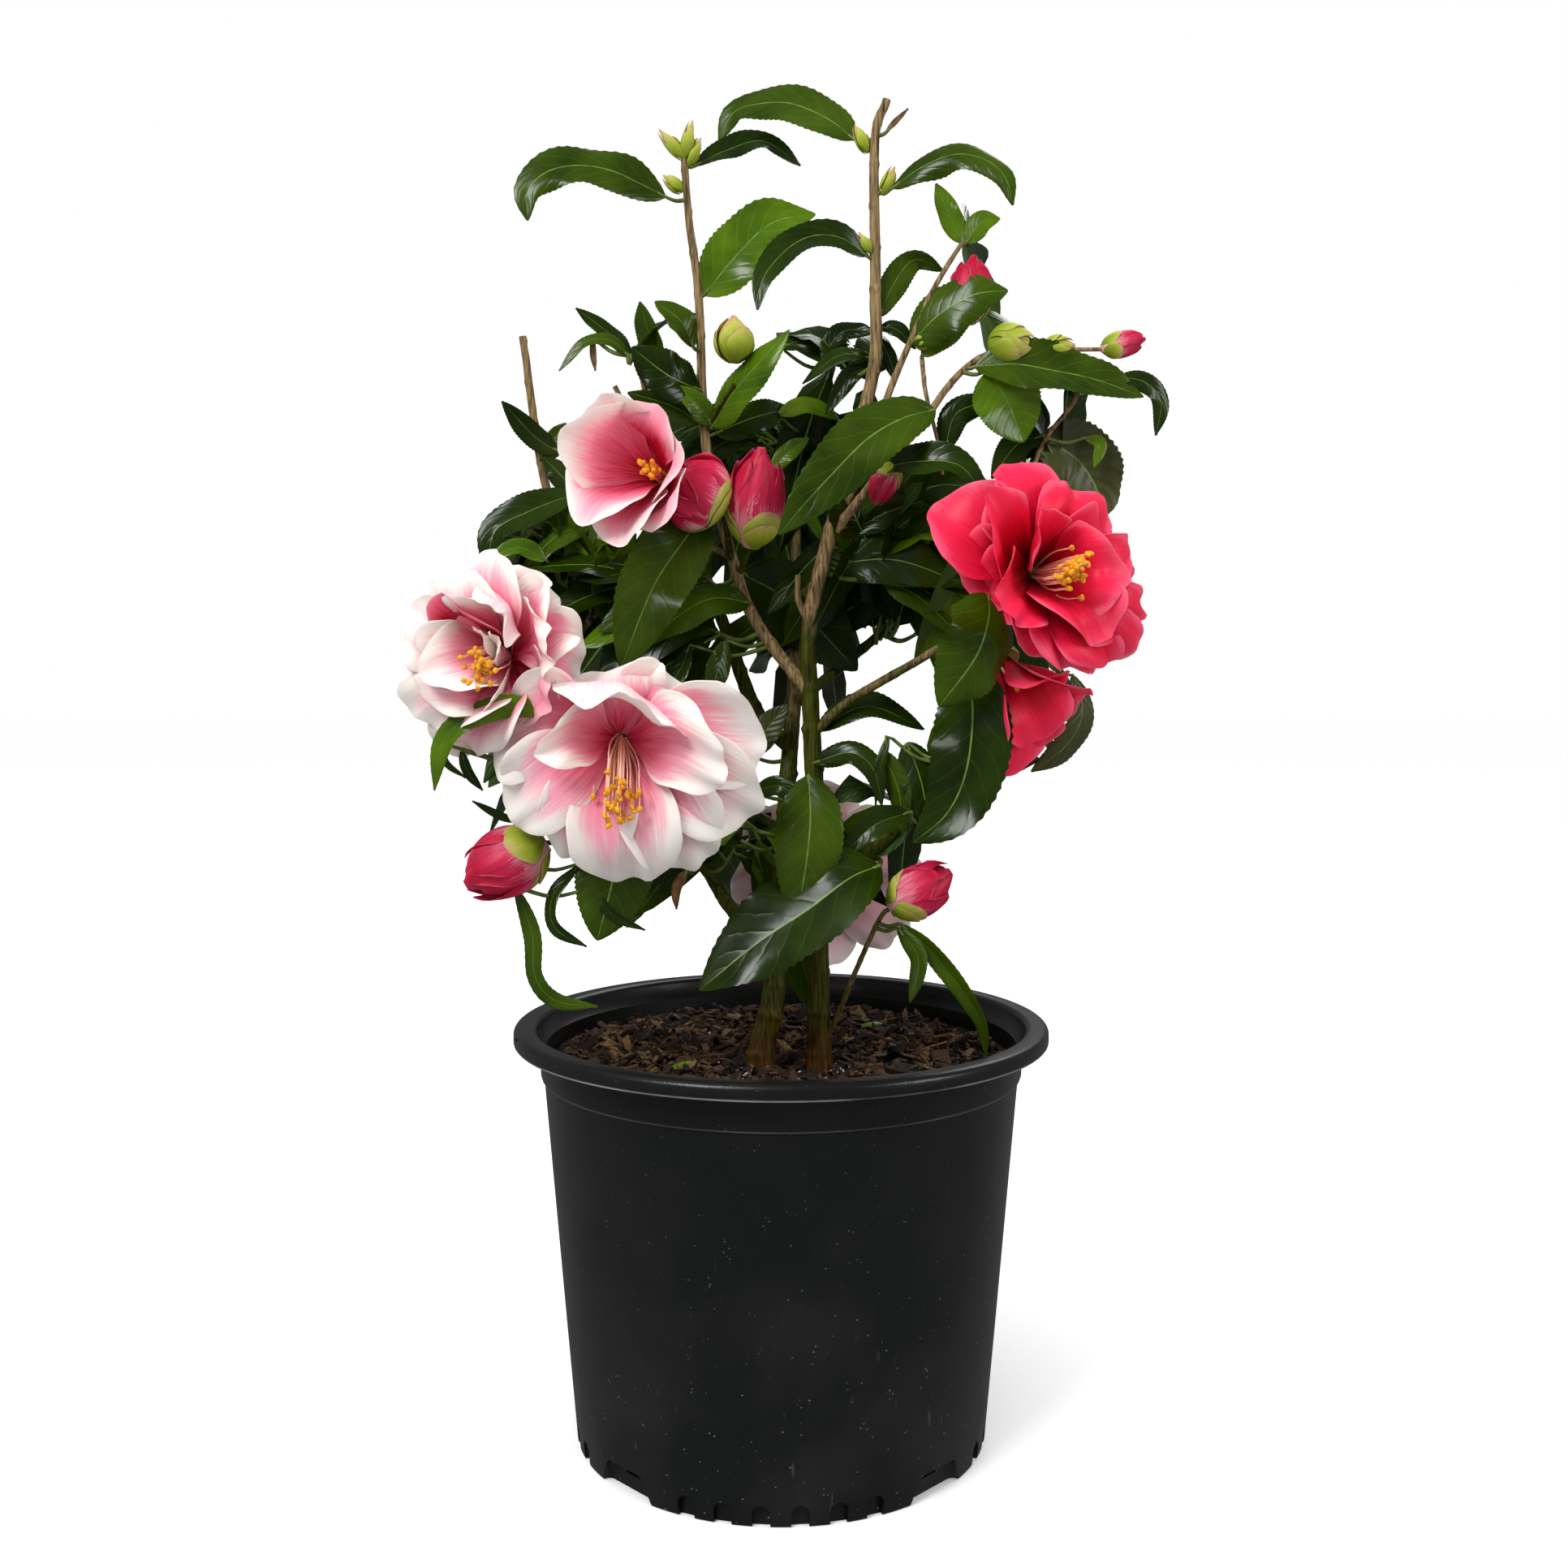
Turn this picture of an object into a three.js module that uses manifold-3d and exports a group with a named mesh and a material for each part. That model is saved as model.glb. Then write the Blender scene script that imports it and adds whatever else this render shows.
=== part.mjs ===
// A camellia in bloom in its nursery pot, in millimetres, +Z up.
// The origin is the centre of the pot's underside, on the standing plane; the front is -Y.
import * as THREE from "three";
import { mergeVertices } from "three/addons/utils/BufferGeometryUtils.js";
import Module from "manifold-3d";

const wasm = await Module();
wasm.setup();

// Driving dimensions of the pot.
const POT_HEIGHT = 199;
const RIM_RADIUS = 127;
const LIP_WIDTH = 11;
const LIP_HEIGHT = 7;
const BAND_RADIUS = 114.4;
const BAND_FOOT = 175;
const BAND_STEP = 1.6;
const BAND_DRAFT = 0.4;
const BAND_SLOPE = 0.6;
const LIP_ROUND = 1.6;
const LIP_CROWN = 2.5;
const LIP_SIDE = 3;
const LEDGE_DROP = 9.6;
const BASE_RADIUS = 98.6;
const WALL = 1.8;
const FLOOR_TOP = 6;
const FLOOR_UNDER = 3.2;
const FLOOR_SLOPE_DISC = 5;
const FLOOR_SLOPE_RING = 2;
const FOOT_EDGE = 1.5;
const FOOT_RING = 7;
const FOOT_RING_TOP = 15;
const FOOT_RING_SLOPE = 3;
const CENTRE_DISC = 40;
const SIDES_ROUND = 30;
const FEET = 4;
const FOOT_GAP_WIDTH = 34;
const FOOT_GAP_TOP_WIDTH = 23;
const FOOT_GAP_HEIGHT = 12.5;
const FOOT_GAP_DEPTH = 5.6;
const ALCOVES_PER_FOOT = 6;
const ALCOVE_WIDTH = 8;
const ALCOVE_HEIGHT = 10;
const ALCOVE_DEPTH = 3;
const ALCOVE_PITCH = THREE.MathUtils.degToRad(9.8);
const DRAIN_WIDTH = 10;
const DRAIN_HEIGHT = 6;
const DRAIN_LIFT = 0.4;
const CUT_MARGIN = 5;

// Driving dimensions of the plant.
const GAP = 0.3;
const SOIL_TOP = 177;
const SOIL_EDGE_TOP = 182;
const STEM_FOOT = SOIL_TOP + GAP;
const SOIL_SIDES = SIDES_ROUND / 2;
const SOIL_WALL_GAP = 0.7;
const SOIL_FLAT_RADIUS = 50;
const SOIL_SLOPE_RADIUS = 80;
const SOIL_SLOPE_RISE = 2;
const STEM_DEPTH = -17;
const MASS_GAP = 0.8;
const FLARE_LENGTH = 12;
const LEAF_THICKNESS = 5;
const EYE_DISTANCE = 760;
const EYE_HEIGHT = 360;
const LUMPINESS = 0.1;
const RIPPLE = 0.06;

const FRONT = new THREE.Vector3(0, -1, 0);
const UP_FRONT = new THREE.Vector3(0, -0.8, 0.6);
const LEFT_FRONT = new THREE.Vector3(-0.75, -0.62, 0.1);
const RIGHT_FRONT = new THREE.Vector3(0.7, -0.68, 0.15);
const LEFT_UP = new THREE.Vector3(-0.62, -0.62, 0.48);
const RIGHT_DOWN = new THREE.Vector3(0.55, -0.6, -0.58);
const BACK = new THREE.Vector3(0.1, 0.95, 0.2);

const plasticBlack = { color: 0x1e2121, roughness: 0.45, metalness: 0 };
const soilBrown = { color: 0x3a281b, roughness: 1, metalness: 0 };
const barkOlive = { color: 0x55521f, roughness: 0.7, metalness: 0 };
const barkTan = { color: 0x8d7a58, roughness: 0.8, metalness: 0 };
const leafDark = { color: 0x1d4319, roughness: 0.35, metalness: 0 };
const leafBright = { color: 0x46661c, roughness: 0.4, metalness: 0 };
const petalPink = { color: 0xf0b0bd, roughness: 0.6, metalness: 0 };
const petalRed = { color: 0xd82a4e, roughness: 0.6, metalness: 0 };

// A place is given as it looks from the front: x across and z up on the plane
// through the pot's axis, then carried along the line of sight to its depth behind it.
function at(x, z, depth = 0) {
  const reach = (EYE_DISTANCE + depth) / EYE_DISTANCE;
  return new THREE.Vector3(x * reach, depth, EYE_HEIGHT + (z - EYE_HEIGHT) * reach);
}

// A closed three.js geometry as a solid that can be joined and cut.
function solid(geometry) {
  geometry.deleteAttribute("normal");
  geometry.deleteAttribute("uv");
  const merged = mergeVertices(geometry, 1e-4);
  const vertProperties = new Float32Array(merged.attributes.position.array);
  const triVerts = new Uint32Array(merged.index.array);
  return new wasm.Manifold(new wasm.Mesh({ numProp: 3, vertProperties, triVerts }));
}

function meshOf(name, body, finish) {
  const { vertProperties, triVerts } = body.getMesh();
  const geometry = new THREE.BufferGeometry();
  geometry.setAttribute("position", new THREE.BufferAttribute(new Float32Array(vertProperties), 3));
  geometry.setIndex(new THREE.BufferAttribute(new Uint32Array(triVerts), 1));
  geometry.computeVertexNormals();
  const mesh = new THREE.Mesh(geometry, new THREE.MeshStandardMaterial(finish));
  mesh.name = name;
  return mesh;
}

function joined(bodies) {
  return bodies.reduce((whole, body) => whole.add(body));
}

function largestPiece(body) {
  const pieces = body.decompose();
  return pieces.reduce((best, piece) => (piece.volume() > best.volume() ? piece : best));
}

// The outline of an alcove: upright sides under a round arch.
function alcoveOutline() {
  const half = ALCOVE_WIDTH / 2;
  const outline = new THREE.Shape();
  outline.moveTo(-half, -CUT_MARGIN);
  outline.lineTo(half, -CUT_MARGIN);
  outline.lineTo(half, ALCOVE_HEIGHT - half);
  outline.absarc(0, ALCOVE_HEIGHT - half, half, 0, Math.PI);
  return outline;
}

// The outline of a gap between two feet: sides that lean in to a level top.
function gapOutline() {
  const half = FOOT_GAP_WIDTH / 2;
  const topHalf = FOOT_GAP_TOP_WIDTH / 2;
  const outline = new THREE.Shape();
  outline.moveTo(-half, -CUT_MARGIN);
  outline.lineTo(half, -CUT_MARGIN);
  outline.lineTo(half, 0);
  outline.lineTo(topHalf, FOOT_GAP_HEIGHT);
  outline.lineTo(-topHalf, FOOT_GAP_HEIGHT);
  outline.lineTo(-half, 0);
  return outline;
}

// An opening of that outline, as deep as given, pressed into the pot's foot at an angle.
function footCut(outline, depth, angle) {
  const block = new THREE.ExtrudeGeometry(outline, {
    depth: depth + CUT_MARGIN,
    bevelEnabled: false,
    curveSegments: 1,
  });
  block.rotateX(Math.PI / 2);
  block.translate(0, depth - BASE_RADIUS, 0);
  block.rotateZ(angle);
  return solid(block);
}

function wallRadius(height) {
  const bandInner = BAND_RADIUS - BAND_STEP;
  return THREE.MathUtils.lerp(BASE_RADIUS, bandInner, height / BAND_FOOT);
}

// The moulded pot: flat disc and foot ring below, tapering wall, shoulder band, rolled lip.
function pot() {
  const lipFoot = POT_HEIGHT - LIP_HEIGHT;
  const lipInner = RIM_RADIUS - LIP_WIDTH;
  const ringSlopeTop = FOOT_RING_TOP + FOOT_RING_SLOPE;
  const profile = [
    [0, 0],
    [CENTRE_DISC, 0],
    [CENTRE_DISC + FLOOR_SLOPE_DISC, FLOOR_UNDER],
    [BASE_RADIUS - FOOT_RING - FLOOR_SLOPE_RING, FLOOR_UNDER],
    [BASE_RADIUS - FOOT_RING, 0],
    [BASE_RADIUS - FOOT_EDGE, 0],
    [wallRadius(FOOT_EDGE), FOOT_EDGE],
    [wallRadius(BAND_FOOT - BAND_SLOPE), BAND_FOOT - BAND_SLOPE],
    [BAND_RADIUS - BAND_DRAFT, BAND_FOOT + BAND_SLOPE],
    [BAND_RADIUS, lipFoot],
    [RIM_RADIUS - LIP_ROUND, lipFoot - BAND_SLOPE],
    [RIM_RADIUS, lipFoot + LIP_SIDE],
    [RIM_RADIUS - LIP_CROWN, POT_HEIGHT],
    [lipInner + LIP_CROWN, POT_HEIGHT],
    [lipInner, POT_HEIGHT - LIP_ROUND],
    [BAND_RADIUS - WALL - BAND_DRAFT, POT_HEIGHT - LEDGE_DROP],
    [wallRadius(ringSlopeTop) - WALL, ringSlopeTop],
    [BASE_RADIUS - FOOT_RING, FOOT_RING_TOP],
    [BASE_RADIUS - FOOT_RING, FLOOR_TOP],
    [0, FLOOR_TOP],
  ];
  const shell = new THREE.LatheGeometry(
    profile.map(([radius, height]) => new THREE.Vector2(radius, height)),
    SIDES_ROUND,
  );
  shell.rotateX(Math.PI / 2);
  const cuts = [];
  for (let foot = 0; foot < FEET; foot += 1) {
    const footAngle = (foot * 2 * Math.PI) / FEET;
    const gapAngle = footAngle + Math.PI / FEET;
    cuts.push(footCut(gapOutline(), FOOT_GAP_DEPTH, gapAngle));
    const drain = new THREE.BoxGeometry(DRAIN_WIDTH, 3 * FOOT_RING, DRAIN_HEIGHT);
    drain.translate(0, -BASE_RADIUS + FOOT_RING / 2, FLOOR_TOP + DRAIN_HEIGHT / 2 + DRAIN_LIFT);
    drain.rotateZ(gapAngle);
    cuts.push(solid(drain));
    for (let alcove = 0; alcove < ALCOVES_PER_FOOT; alcove += 1) {
      const turn = (alcove - (ALCOVES_PER_FOOT - 1) / 2) * ALCOVE_PITCH;
      cuts.push(footCut(alcoveOutline(), ALCOVE_DEPTH, footAngle + turn));
    }
  }
  return solid(shell).subtract(joined(cuts));
}

// The potting mix: a plug that fills the pot, flat round the stems and higher at the wall.
function soil() {
  const clear = WALL + SOIL_WALL_GAP;
  const ringSlopeTop = FOOT_RING_TOP + FOOT_RING_SLOPE;
  const profile = [
    [0, FLOOR_TOP + GAP],
    [BASE_RADIUS - FOOT_RING - GAP, FLOOR_TOP + GAP],
    [BASE_RADIUS - FOOT_RING - GAP, FOOT_RING_TOP + GAP],
    [wallRadius(ringSlopeTop) - clear, ringSlopeTop + GAP],
    [wallRadius(SOIL_EDGE_TOP) - clear, SOIL_EDGE_TOP],
    [SOIL_SLOPE_RADIUS, SOIL_TOP + SOIL_SLOPE_RISE],
    [SOIL_FLAT_RADIUS, SOIL_TOP],
    [0, SOIL_TOP],
  ];
  const plug = new THREE.LatheGeometry(
    profile.map(([radius, height]) => new THREE.Vector2(radius, height)),
    SOIL_SIDES,
  );
  plug.rotateX(Math.PI / 2);
  return solid(plug);
}

// A limb: a cylinder bent along its centre line, tapering from foot to tip.
function limb({ path, foot, tip, flare = 0, sides = 5, steps = 7 }, extra = 0) {
  const curve = new THREE.CatmullRomCurve3(path, false, "centripetal");
  const frames = curve.computeFrenetFrames(steps, false);
  const length = curve.getLength();
  const shape = new THREE.CylinderGeometry(1, 1, 1, sides, steps);
  const position = shape.attributes.position;
  for (let i = 0; i < position.count; i += 1) {
    const along = position.getY(i) + 0.5;
    const step = Math.round(along * steps);
    const swell = flare * Math.exp((-along * length) / FLARE_LENGTH);
    const radius = THREE.MathUtils.lerp(foot, tip, along) + swell + extra;
    const place = curve.getPointAt(along);
    place.addScaledVector(frames.binormals[step], position.getX(i) * radius);
    place.addScaledVector(frames.normals[step], position.getZ(i) * radius);
    place.addScaledVector(frames.tangents[step], (2 * along - 1) * extra);
    position.setXYZ(i, place.x, place.y, place.z);
  }
  return solid(shape);
}

// A rounded, uneven body. Its three radii lie across, along and above the way it faces.
function blob(centre, [across, along, above], facing = FRONT) {
  return (extra) => {
    const shape = new THREE.IcosahedronGeometry(1, 1);
    const position = shape.attributes.position;
    const turn = new THREE.Quaternion().setFromUnitVectors(FRONT, facing.clone().normalize());
    const spot = new THREE.Vector3();
    for (let i = 0; i < position.count; i += 1) {
      spot.fromBufferAttribute(position, i);
      const wave = Math.sin(4 * spot.x + centre.x) * Math.cos(3 * spot.z + centre.z);
      const ripple = Math.sin(6 * spot.z - 5 * spot.x + centre.y);
      const lump = 1 + LUMPINESS * wave + RIPPLE * ripple;
      spot.multiply(
        new THREE.Vector3(across * lump + extra, along * lump + extra, above * lump + extra),
      );
      spot.applyQuaternion(turn).add(centre);
      position.setXYZ(i, spot.x, spot.y, spot.z);
    }
    return solid(shape);
  };
}

// A thin pad of one long leaf or a spray: a flattened ball bent from its base, by way of a
// middle place, to its tip. Its width lies square to the way up and forward.
function pad(base, middle, tip, width, thick = LEAF_THICKNESS) {
  return (extra) => {
    const pull = middle.clone().multiplyScalar(2).addScaledVector(base, -0.5);
    pull.addScaledVector(tip, -0.5);
    const curve = new THREE.QuadraticBezierCurve3(base, pull, tip);
    const shape = new THREE.SphereGeometry(1, 4, 4);
    const position = shape.attributes.position;
    for (let i = 0; i < position.count; i += 1) {
      const along = THREE.MathUtils.clamp((position.getY(i) + 1) / 2, 0, 1);
      const tangent = curve.getTangent(along);
      const side = new THREE.Vector3().crossVectors(tangent, UP_FRONT).normalize();
      const face = new THREE.Vector3().crossVectors(side, tangent);
      const place = curve.getPoint(along);
      place.addScaledVector(side, position.getX(i) * (width / 2 + extra));
      place.addScaledVector(face, position.getZ(i) * (thick / 2 + extra));
      place.addScaledVector(tangent, (2 * along - 1) * extra);
      position.setXYZ(i, place.x, place.y, place.z);
    }
    return solid(shape);
  };
}

// The limbs, from foot to tip. A bough or branch grows out of the limb named before it.
const upright = (x, height) => new THREE.Vector3(x, STEM_DEPTH, height);
const limbs = [
  {
    name: "stem_right",
    finish: barkOlive,
    path: [
      upright(17.6, STEM_FOOT), upright(17.6, STEM_FOOT + 26), at(17, 285, -15),
      at(14, 350, -14), at(13.5, 388, -12), at(27, 445, -8), at(43, 505, -4),
      at(44, 545, -2), at(43.5, 610, -2), at(49, 630, -2),
    ],
    foot: 5.2,
    tip: 2.1,
    flare: 1.6,
    sides: 7,
    steps: 17,
  },
  {
    name: "stem_left",
    finish: barkOlive,
    path: [
      upright(-9, STEM_FOOT), upright(-8.6, STEM_FOOT + 14), at(-3, 217, -14),
      at(3, 312, 2), at(6, 355, 14), at(8, 400, 22), at(8, 450, 28), at(24, 508, 28),
    ],
    foot: 5.9,
    tip: 1.9,
    flare: 1.8,
    sides: 7,
    steps: 14,
  },
  {
    name: "bough_tall_left",
    finish: barkTan,
    path: [
      at(13, 356, -14), at(-10, 386, -10), at(-21, 412, -6), at(-35, 470, 0),
      at(-38.5, 540, 0), at(-43, 576, 0),
    ],
    foot: 3.1,
    tip: 2.1,
    steps: 10,
  },
  {
    name: "bough_low_left",
    finish: barkTan,
    path: [
      at(-4, 214, -14), at(-20, 246, -8), at(-36, 273, 0), at(-84, 375, 12),
      at(-110, 450, 8), at(-121, 522, 2),
    ],
    foot: 3.4,
    tip: 1.8,
    steps: 11,
  },
  {
    name: "bough_back_left",
    finish: barkOlive,
    path: [at(4, 330, 6), at(-12, 347, 14), at(-28, 390, 20), at(-56, 465, 8), at(-66, 507, -7)],
    foot: 3.9,
    tip: 1.6,
    steps: 10,
  },
  {
    name: "branch_right",
    finish: barkTan,
    path: [at(15, 336, -15), at(33, 352, -18), at(72, 375, -27), at(88, 388, -31), at(106, 410, -36)],
    foot: 2.3,
    tip: 1.5,
  },
  {
    name: "branch_upper_right",
    finish: barkTan,
    path: [at(22, 420, -9), at(34, 438, -12), at(51, 497, -9), at(62, 523, -12)],
    foot: 2.2,
    tip: 1.3,
    steps: 8,
  },
  {
    name: "branch_far_right",
    finish: barkTan,
    path: [at(17, 402, -11), at(36, 428, -18), at(62, 470, -25), at(79, 500, -25), at(93, 513, -25)],
    foot: 2.2,
    tip: 1.4,
    steps: 8,
  },
  {
    name: "shoot_low_right",
    finish: barkTan,
    path: [at(20, 187, -18), at(27, 200, -22), at(34, 218, -28), at(47, 247, -40)],
    foot: 1.4,
    tip: 1.2,
    steps: 7,
  },
  {
    name: "bough_low_right",
    finish: barkOlive,
    path: [at(17, 252, -16), at(38, 276, -19), at(60, 297, -22), at(72, 312, -26)],
    foot: 2.6,
    tip: 1.5,
    steps: 7,
  },
  {
    name: "branch_big_bloom",
    finish: barkOlive,
    path: [at(-30, 264, -3), at(-52, 286, -22), at(-74, 306, -52)],
    foot: 2,
    tip: 1.4,
    steps: 6,
  },
  {
    name: "branch_left",
    finish: barkOlive,
    path: [at(-70, 344, 10), at(-98, 362, -8), at(-129, 381, -50)],
    foot: 1.9,
    tip: 1.3,
    steps: 6,
  },
  {
    name: "branch_cup",
    finish: barkTan,
    path: [at(-25, 420, -5), at(-42, 430, -20), at(-69, 449, -44)],
    foot: 1.7,
    tip: 1.2,
    steps: 5,
  },
  {
    name: "bough_back_right",
    finish: barkOlive,
    path: [at(6, 350, 12), at(26, 366, 24), at(50, 386, 33), at(80, 412, 56)],
    foot: 2.8,
    tip: 1.5,
    steps: 7,
  },
  {
    name: "bough_back_low",
    finish: barkOlive,
    path: [at(1, 290, -1), at(-22, 304, 34), at(-46, 322, 56), at(-72, 356, 66)],
    foot: 2.6,
    tip: 1.4,
    steps: 7,
  },
  {
    name: "branch_back_bloom",
    finish: barkOlive,
    path: [at(-1, 248, -9), at(8, 256, 8), at(20, 264, 30)],
    foot: 1.9,
    tip: 1.4,
    steps: 5,
  },
];

// The masses of foliage and blossom, from the top down. Each joins its own pads and blobs.
const masses = [
  ["leaves_top_left", leafDark, [
    pad(at(-43, 572), at(-46, 588), at(-46, 621), 12, 12),
    pad(at(-42, 599), at(-50, 608), at(-57, 617), 9, 8),
    pad(at(-45, 580), at(-84, 600, -14), at(-119, 576, -26), 27),
    pad(at(-46, 598), at(-12, 613, 18), at(9, 600, 30), 13),
  ]],
  ["leaves_top_right", leafDark, [
    pad(at(43, 572), at(44, 596), at(45, 622), 11, 11),
    pad(at(44, 607), at(6, 630, 22), at(-29, 612, 34), 25),
    pad(at(44, 585), at(84, 609, -18), at(109, 584, -30), 20),
  ]],
  ["leaves_high_left", leafBright, [
    pad(at(-38, 538), at(-7, 571, 2), at(17, 576, 12), 34),
  ]],
  ["leaves_high_right", leafDark, [
    pad(at(43, 522), at(44, 545), at(43, 570), 11, 11),
    pad(at(44, 560), at(14, 567, -18), at(-12, 534, -34), 20),
    pad(at(43, 532), at(60, 559, 10), at(78, 549, 20), 15),
  ]],
  ["leaves_upper_right", leafBright, [
    pad(at(58, 517, -10), at(82, 537, -20), at(108, 542, -20), 31),
    pad(at(90, 524, -16), at(92, 546, -16), at(86, 564, -10), 23, 18),
    pad(at(88, 548, -14), at(79, 574, -10), at(71, 592, -12), 14),
    pad(at(88, 548, -14), at(94, 568, -10), at(102, 577, -10), 14),
  ]],
  ["leaves_upper_left", leafDark, [
    blob(at(-54, 517, -8), [15, 8, 21]),
    pad(at(-56, 505, -8), at(-78, 519, -6), at(-98, 533, -8), 10),
    pad(at(-56, 504, -8), at(-84, 522, -8), at(-105, 505, -12), 9),
  ]],
  ["leaves_dead_tip", leafDark, [
    pad(at(-104, 464, 4), at(-119, 474, -2), at(-131, 492, -8), 15),
    pad(at(-116, 466, 4), at(-106, 474, 4), at(-101, 480, 2), 14),
  ]],
  ["leaves_far_right", leafDark, [
    pad(at(86, 504, -26), at(136, 509, -32), at(171, 497, -28), 30, 7),
    pad(at(150, 506, -30), at(172, 500, -26), at(177, 476, -26), 14),
    pad(at(92, 512, -26), at(112, 522, -26), at(172, 520, -20), 16, 14),
    pad(at(92, 514, -28), at(118, 498, -29), at(124, 474, -24), 36),
  ]],
  ["leaves_centre_left", leafBright, [
    pad(at(-38, 476, -2), at(-18, 504, -22), at(2, 525, -26), 28),
    pad(at(-23, 500, -21), at(-22, 517, -18), at(-22, 531, -16), 17, 15),
  ]],
  ["leaves_centre_top", leafDark, [
    blob(at(28, 517, 10), [32, 10, 9]),
    pad(at(46, 514, 4), at(28, 512, -6), at(10, 501, -14), 10),
    pad(at(46, 514, 4), at(30, 502, 2), at(22, 487, 0), 13),
  ]],
  ["leaves_centre_high", leafDark, [
    blob(at(0, 478, 20), [29, 9, 12]),
  ]],
  ["leaves_glossy_long", leafDark, [
    pad(at(77, 489, -25), at(36, 471, -42), at(-2, 431, -46), 37),
  ]],
  ["leaves_glossy_right", leafDark, [
    pad(at(46, 461, -19), at(74, 460, -38), at(98, 450, -40), 22),
    pad(at(48, 468, -24), at(48, 454, -24), at(50, 442, -22), 16, 12),
  ]],
  ["bloom_cup", petalPink, [
    blob(at(-77, 459, -52), [26, 25, 31], LEFT_UP),
  ]],
  ["buds_centre", petalRed, [
    pad(at(-19, 438, -20), at(-38, 451, -32), at(-55, 458, -36), 38, 26),
    pad(at(-18, 419, -12), at(-13, 446, -28), at(-9, 474, -32), 28, 24),
    pad(at(-27, 428, -2), at(-24, 434, -16), at(-18, 448, -30), 12, 10),
  ]],
  ["leaves_behind_red", leafBright, [
    pad(at(124, 436, -14), at(140, 460, -10), at(156, 478, -6), 38),
    pad(at(142, 462, -10), at(116, 474, -11), at(99, 453, -14), 22),
  ]],
  ["bloom_red", petalRed, [
    blob(at(125, 414, -44), [56, 22, 48], RIGHT_FRONT),
  ]],
  ["bloom_red_low", petalRed, [
    blob(at(119, 350, -36), [22, 17, 27], RIGHT_DOWN),
  ]],
  ["leaf_red_low", leafBright, [
    pad(at(130, 364, -24), at(140, 346, -22), at(121, 320, -22), 17),
  ]],
  ["leaves_below_cup", leafBright, [
    pad(at(-38, 436, -16), at(-55, 404, -38), at(-75, 367, -42), 42, 7),
    blob(at(-44, 376, -30), [33, 14, 22]),
  ]],
  ["leaves_left_inner", leafDark, [
    blob(at(-90, 404, 0), [25, 14, 32]),
  ]],
  ["leaves_left", leafDark, [
    pad(at(-92, 430, 2), at(-120, 437, -10), at(-142, 422, -14), 28, 9),
    pad(at(-98, 442, 2), at(-112, 428, -14), at(-127, 412, -20), 20),
  ]],
  ["bloom_left", petalPink, [
    blob(at(-133, 385, -66), [46, 22, 34], LEFT_FRONT),
  ]],
  ["leaf_far_left", leafBright, [
    pad(at(-118, 350, -72), at(-156, 346, -78), at(-166, 309, -80), 13),
  ]],
  ["bloom_big", petalPink, [
    blob(at(-75, 317, -84), [56, 21, 48]),
    pad(at(-112, 334, -78), at(-138, 322, -74), at(-158, 326, -72), 34, 12),
  ]],
  ["leaves_right_dark", leafDark, [
    blob(at(50, 414, -3), [35, 12, 17]),
    pad(at(40, 416, -4), at(52, 440, -9), at(80, 446, -12), 22),
  ]],
  ["leaves_centre_dark", leafDark, [
    blob(at(8, 388, 34), [30, 9, 25]),
  ]],
  ["leaves_right_mid", leafDark, [
    blob(at(52, 385, 25), [37, 11, 14]),
  ]],
  ["leaves_right_low", leafDark, [
    pad(at(90, 380, -34), at(94, 332, -50), at(66, 285, -52), 46),
    pad(at(99, 399, -38), at(97, 376, -54), at(77, 350, -56), 38, 7),
    pad(at(100, 388, -38), at(94, 364, -50), at(90, 336, -52), 26, 16),
  ]],
  ["leaves_low_right_inner", leafDark, [
    blob(at(66, 306, -24), [15, 10, 24]),
  ]],
  ["leaves_centre_low", leafDark, [
    pad(at(12, 326, -14), at(36, 322, -22), at(48, 302, -28), 17),
    pad(at(11, 334, -14), at(38, 345, -12), at(68, 340, -8), 17),
    pad(at(17, 316, -12), at(19, 330, -13), at(16, 345, -12), 10, 9),
  ]],
  ["leaves_low_centre", leafDark, [
    pad(at(14, 322, -22), at(11, 284, -46), at(8, 250, -50), 40),
    pad(at(51, 272, -42), at(16, 246, -54), at(-38, 214, -54), 46),
  ]],
  ["bloom_back", petalPink, [
    blob(at(23, 265, 44), [50, 18, 43], BACK),
  ]],
  ["bud_low_right", petalRed, [
    pad(at(44, 246, -40), at(62, 257, -44), at(82, 270, -46), 29, 24),
    pad(at(54, 250, -44), at(84, 218, -46), at(106, 186, -46), 11),
    pad(at(54, 252, -44), at(70, 232, -50), at(63, 207, -54), 12),
  ]],
  ["leaves_low_middle", leafDark, [
    blob(at(-14, 288, -9), [14, 10, 15]),
  ]],
  ["leaves_low_left", leafDark, [
    pad(at(-74, 292, -54), at(-82, 262, -62), at(-87, 237, -66), 42),
    pad(at(-84, 278, -58), at(-112, 256, -66), at(-94, 234, -70), 9),
    pad(at(-94, 280, -58), at(-58, 278, -40), at(-32, 268, -4), 20, 9),
  ]],
  ["bud_low_left", petalRed, [
    pad(at(-86, 286, -58), at(-130, 275, -65), at(-152, 262, -68), 38, 30),
    pad(at(-116, 286, -60), at(-122, 250, -64), at(-114, 212, -66), 13),
    pad(at(-119, 226, -66), at(-108, 212, -66), at(-88, 205, -66), 11),
  ]],
  ["leaves_back_top", leafDark, [
    blob(at(-6, 448, 54), [42, 27, 46]),
  ]],
  ["leaves_back_right", leafDark, [
    blob(at(82, 408, 74), [40, 27, 42]),
  ]],
  ["leaves_back_left", leafDark, [
    blob(at(-78, 372, 74), [40, 26, 42]),
  ]],
  ["leaves_back_low", leafDark, [
    blob(at(-42, 302, 72), [38, 27, 32]),
  ]],
];

const group = new THREE.Group();
group.add(meshOf("pot", pot(), plasticBlack));
group.add(meshOf("soil", soil(), soilBrown));

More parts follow.
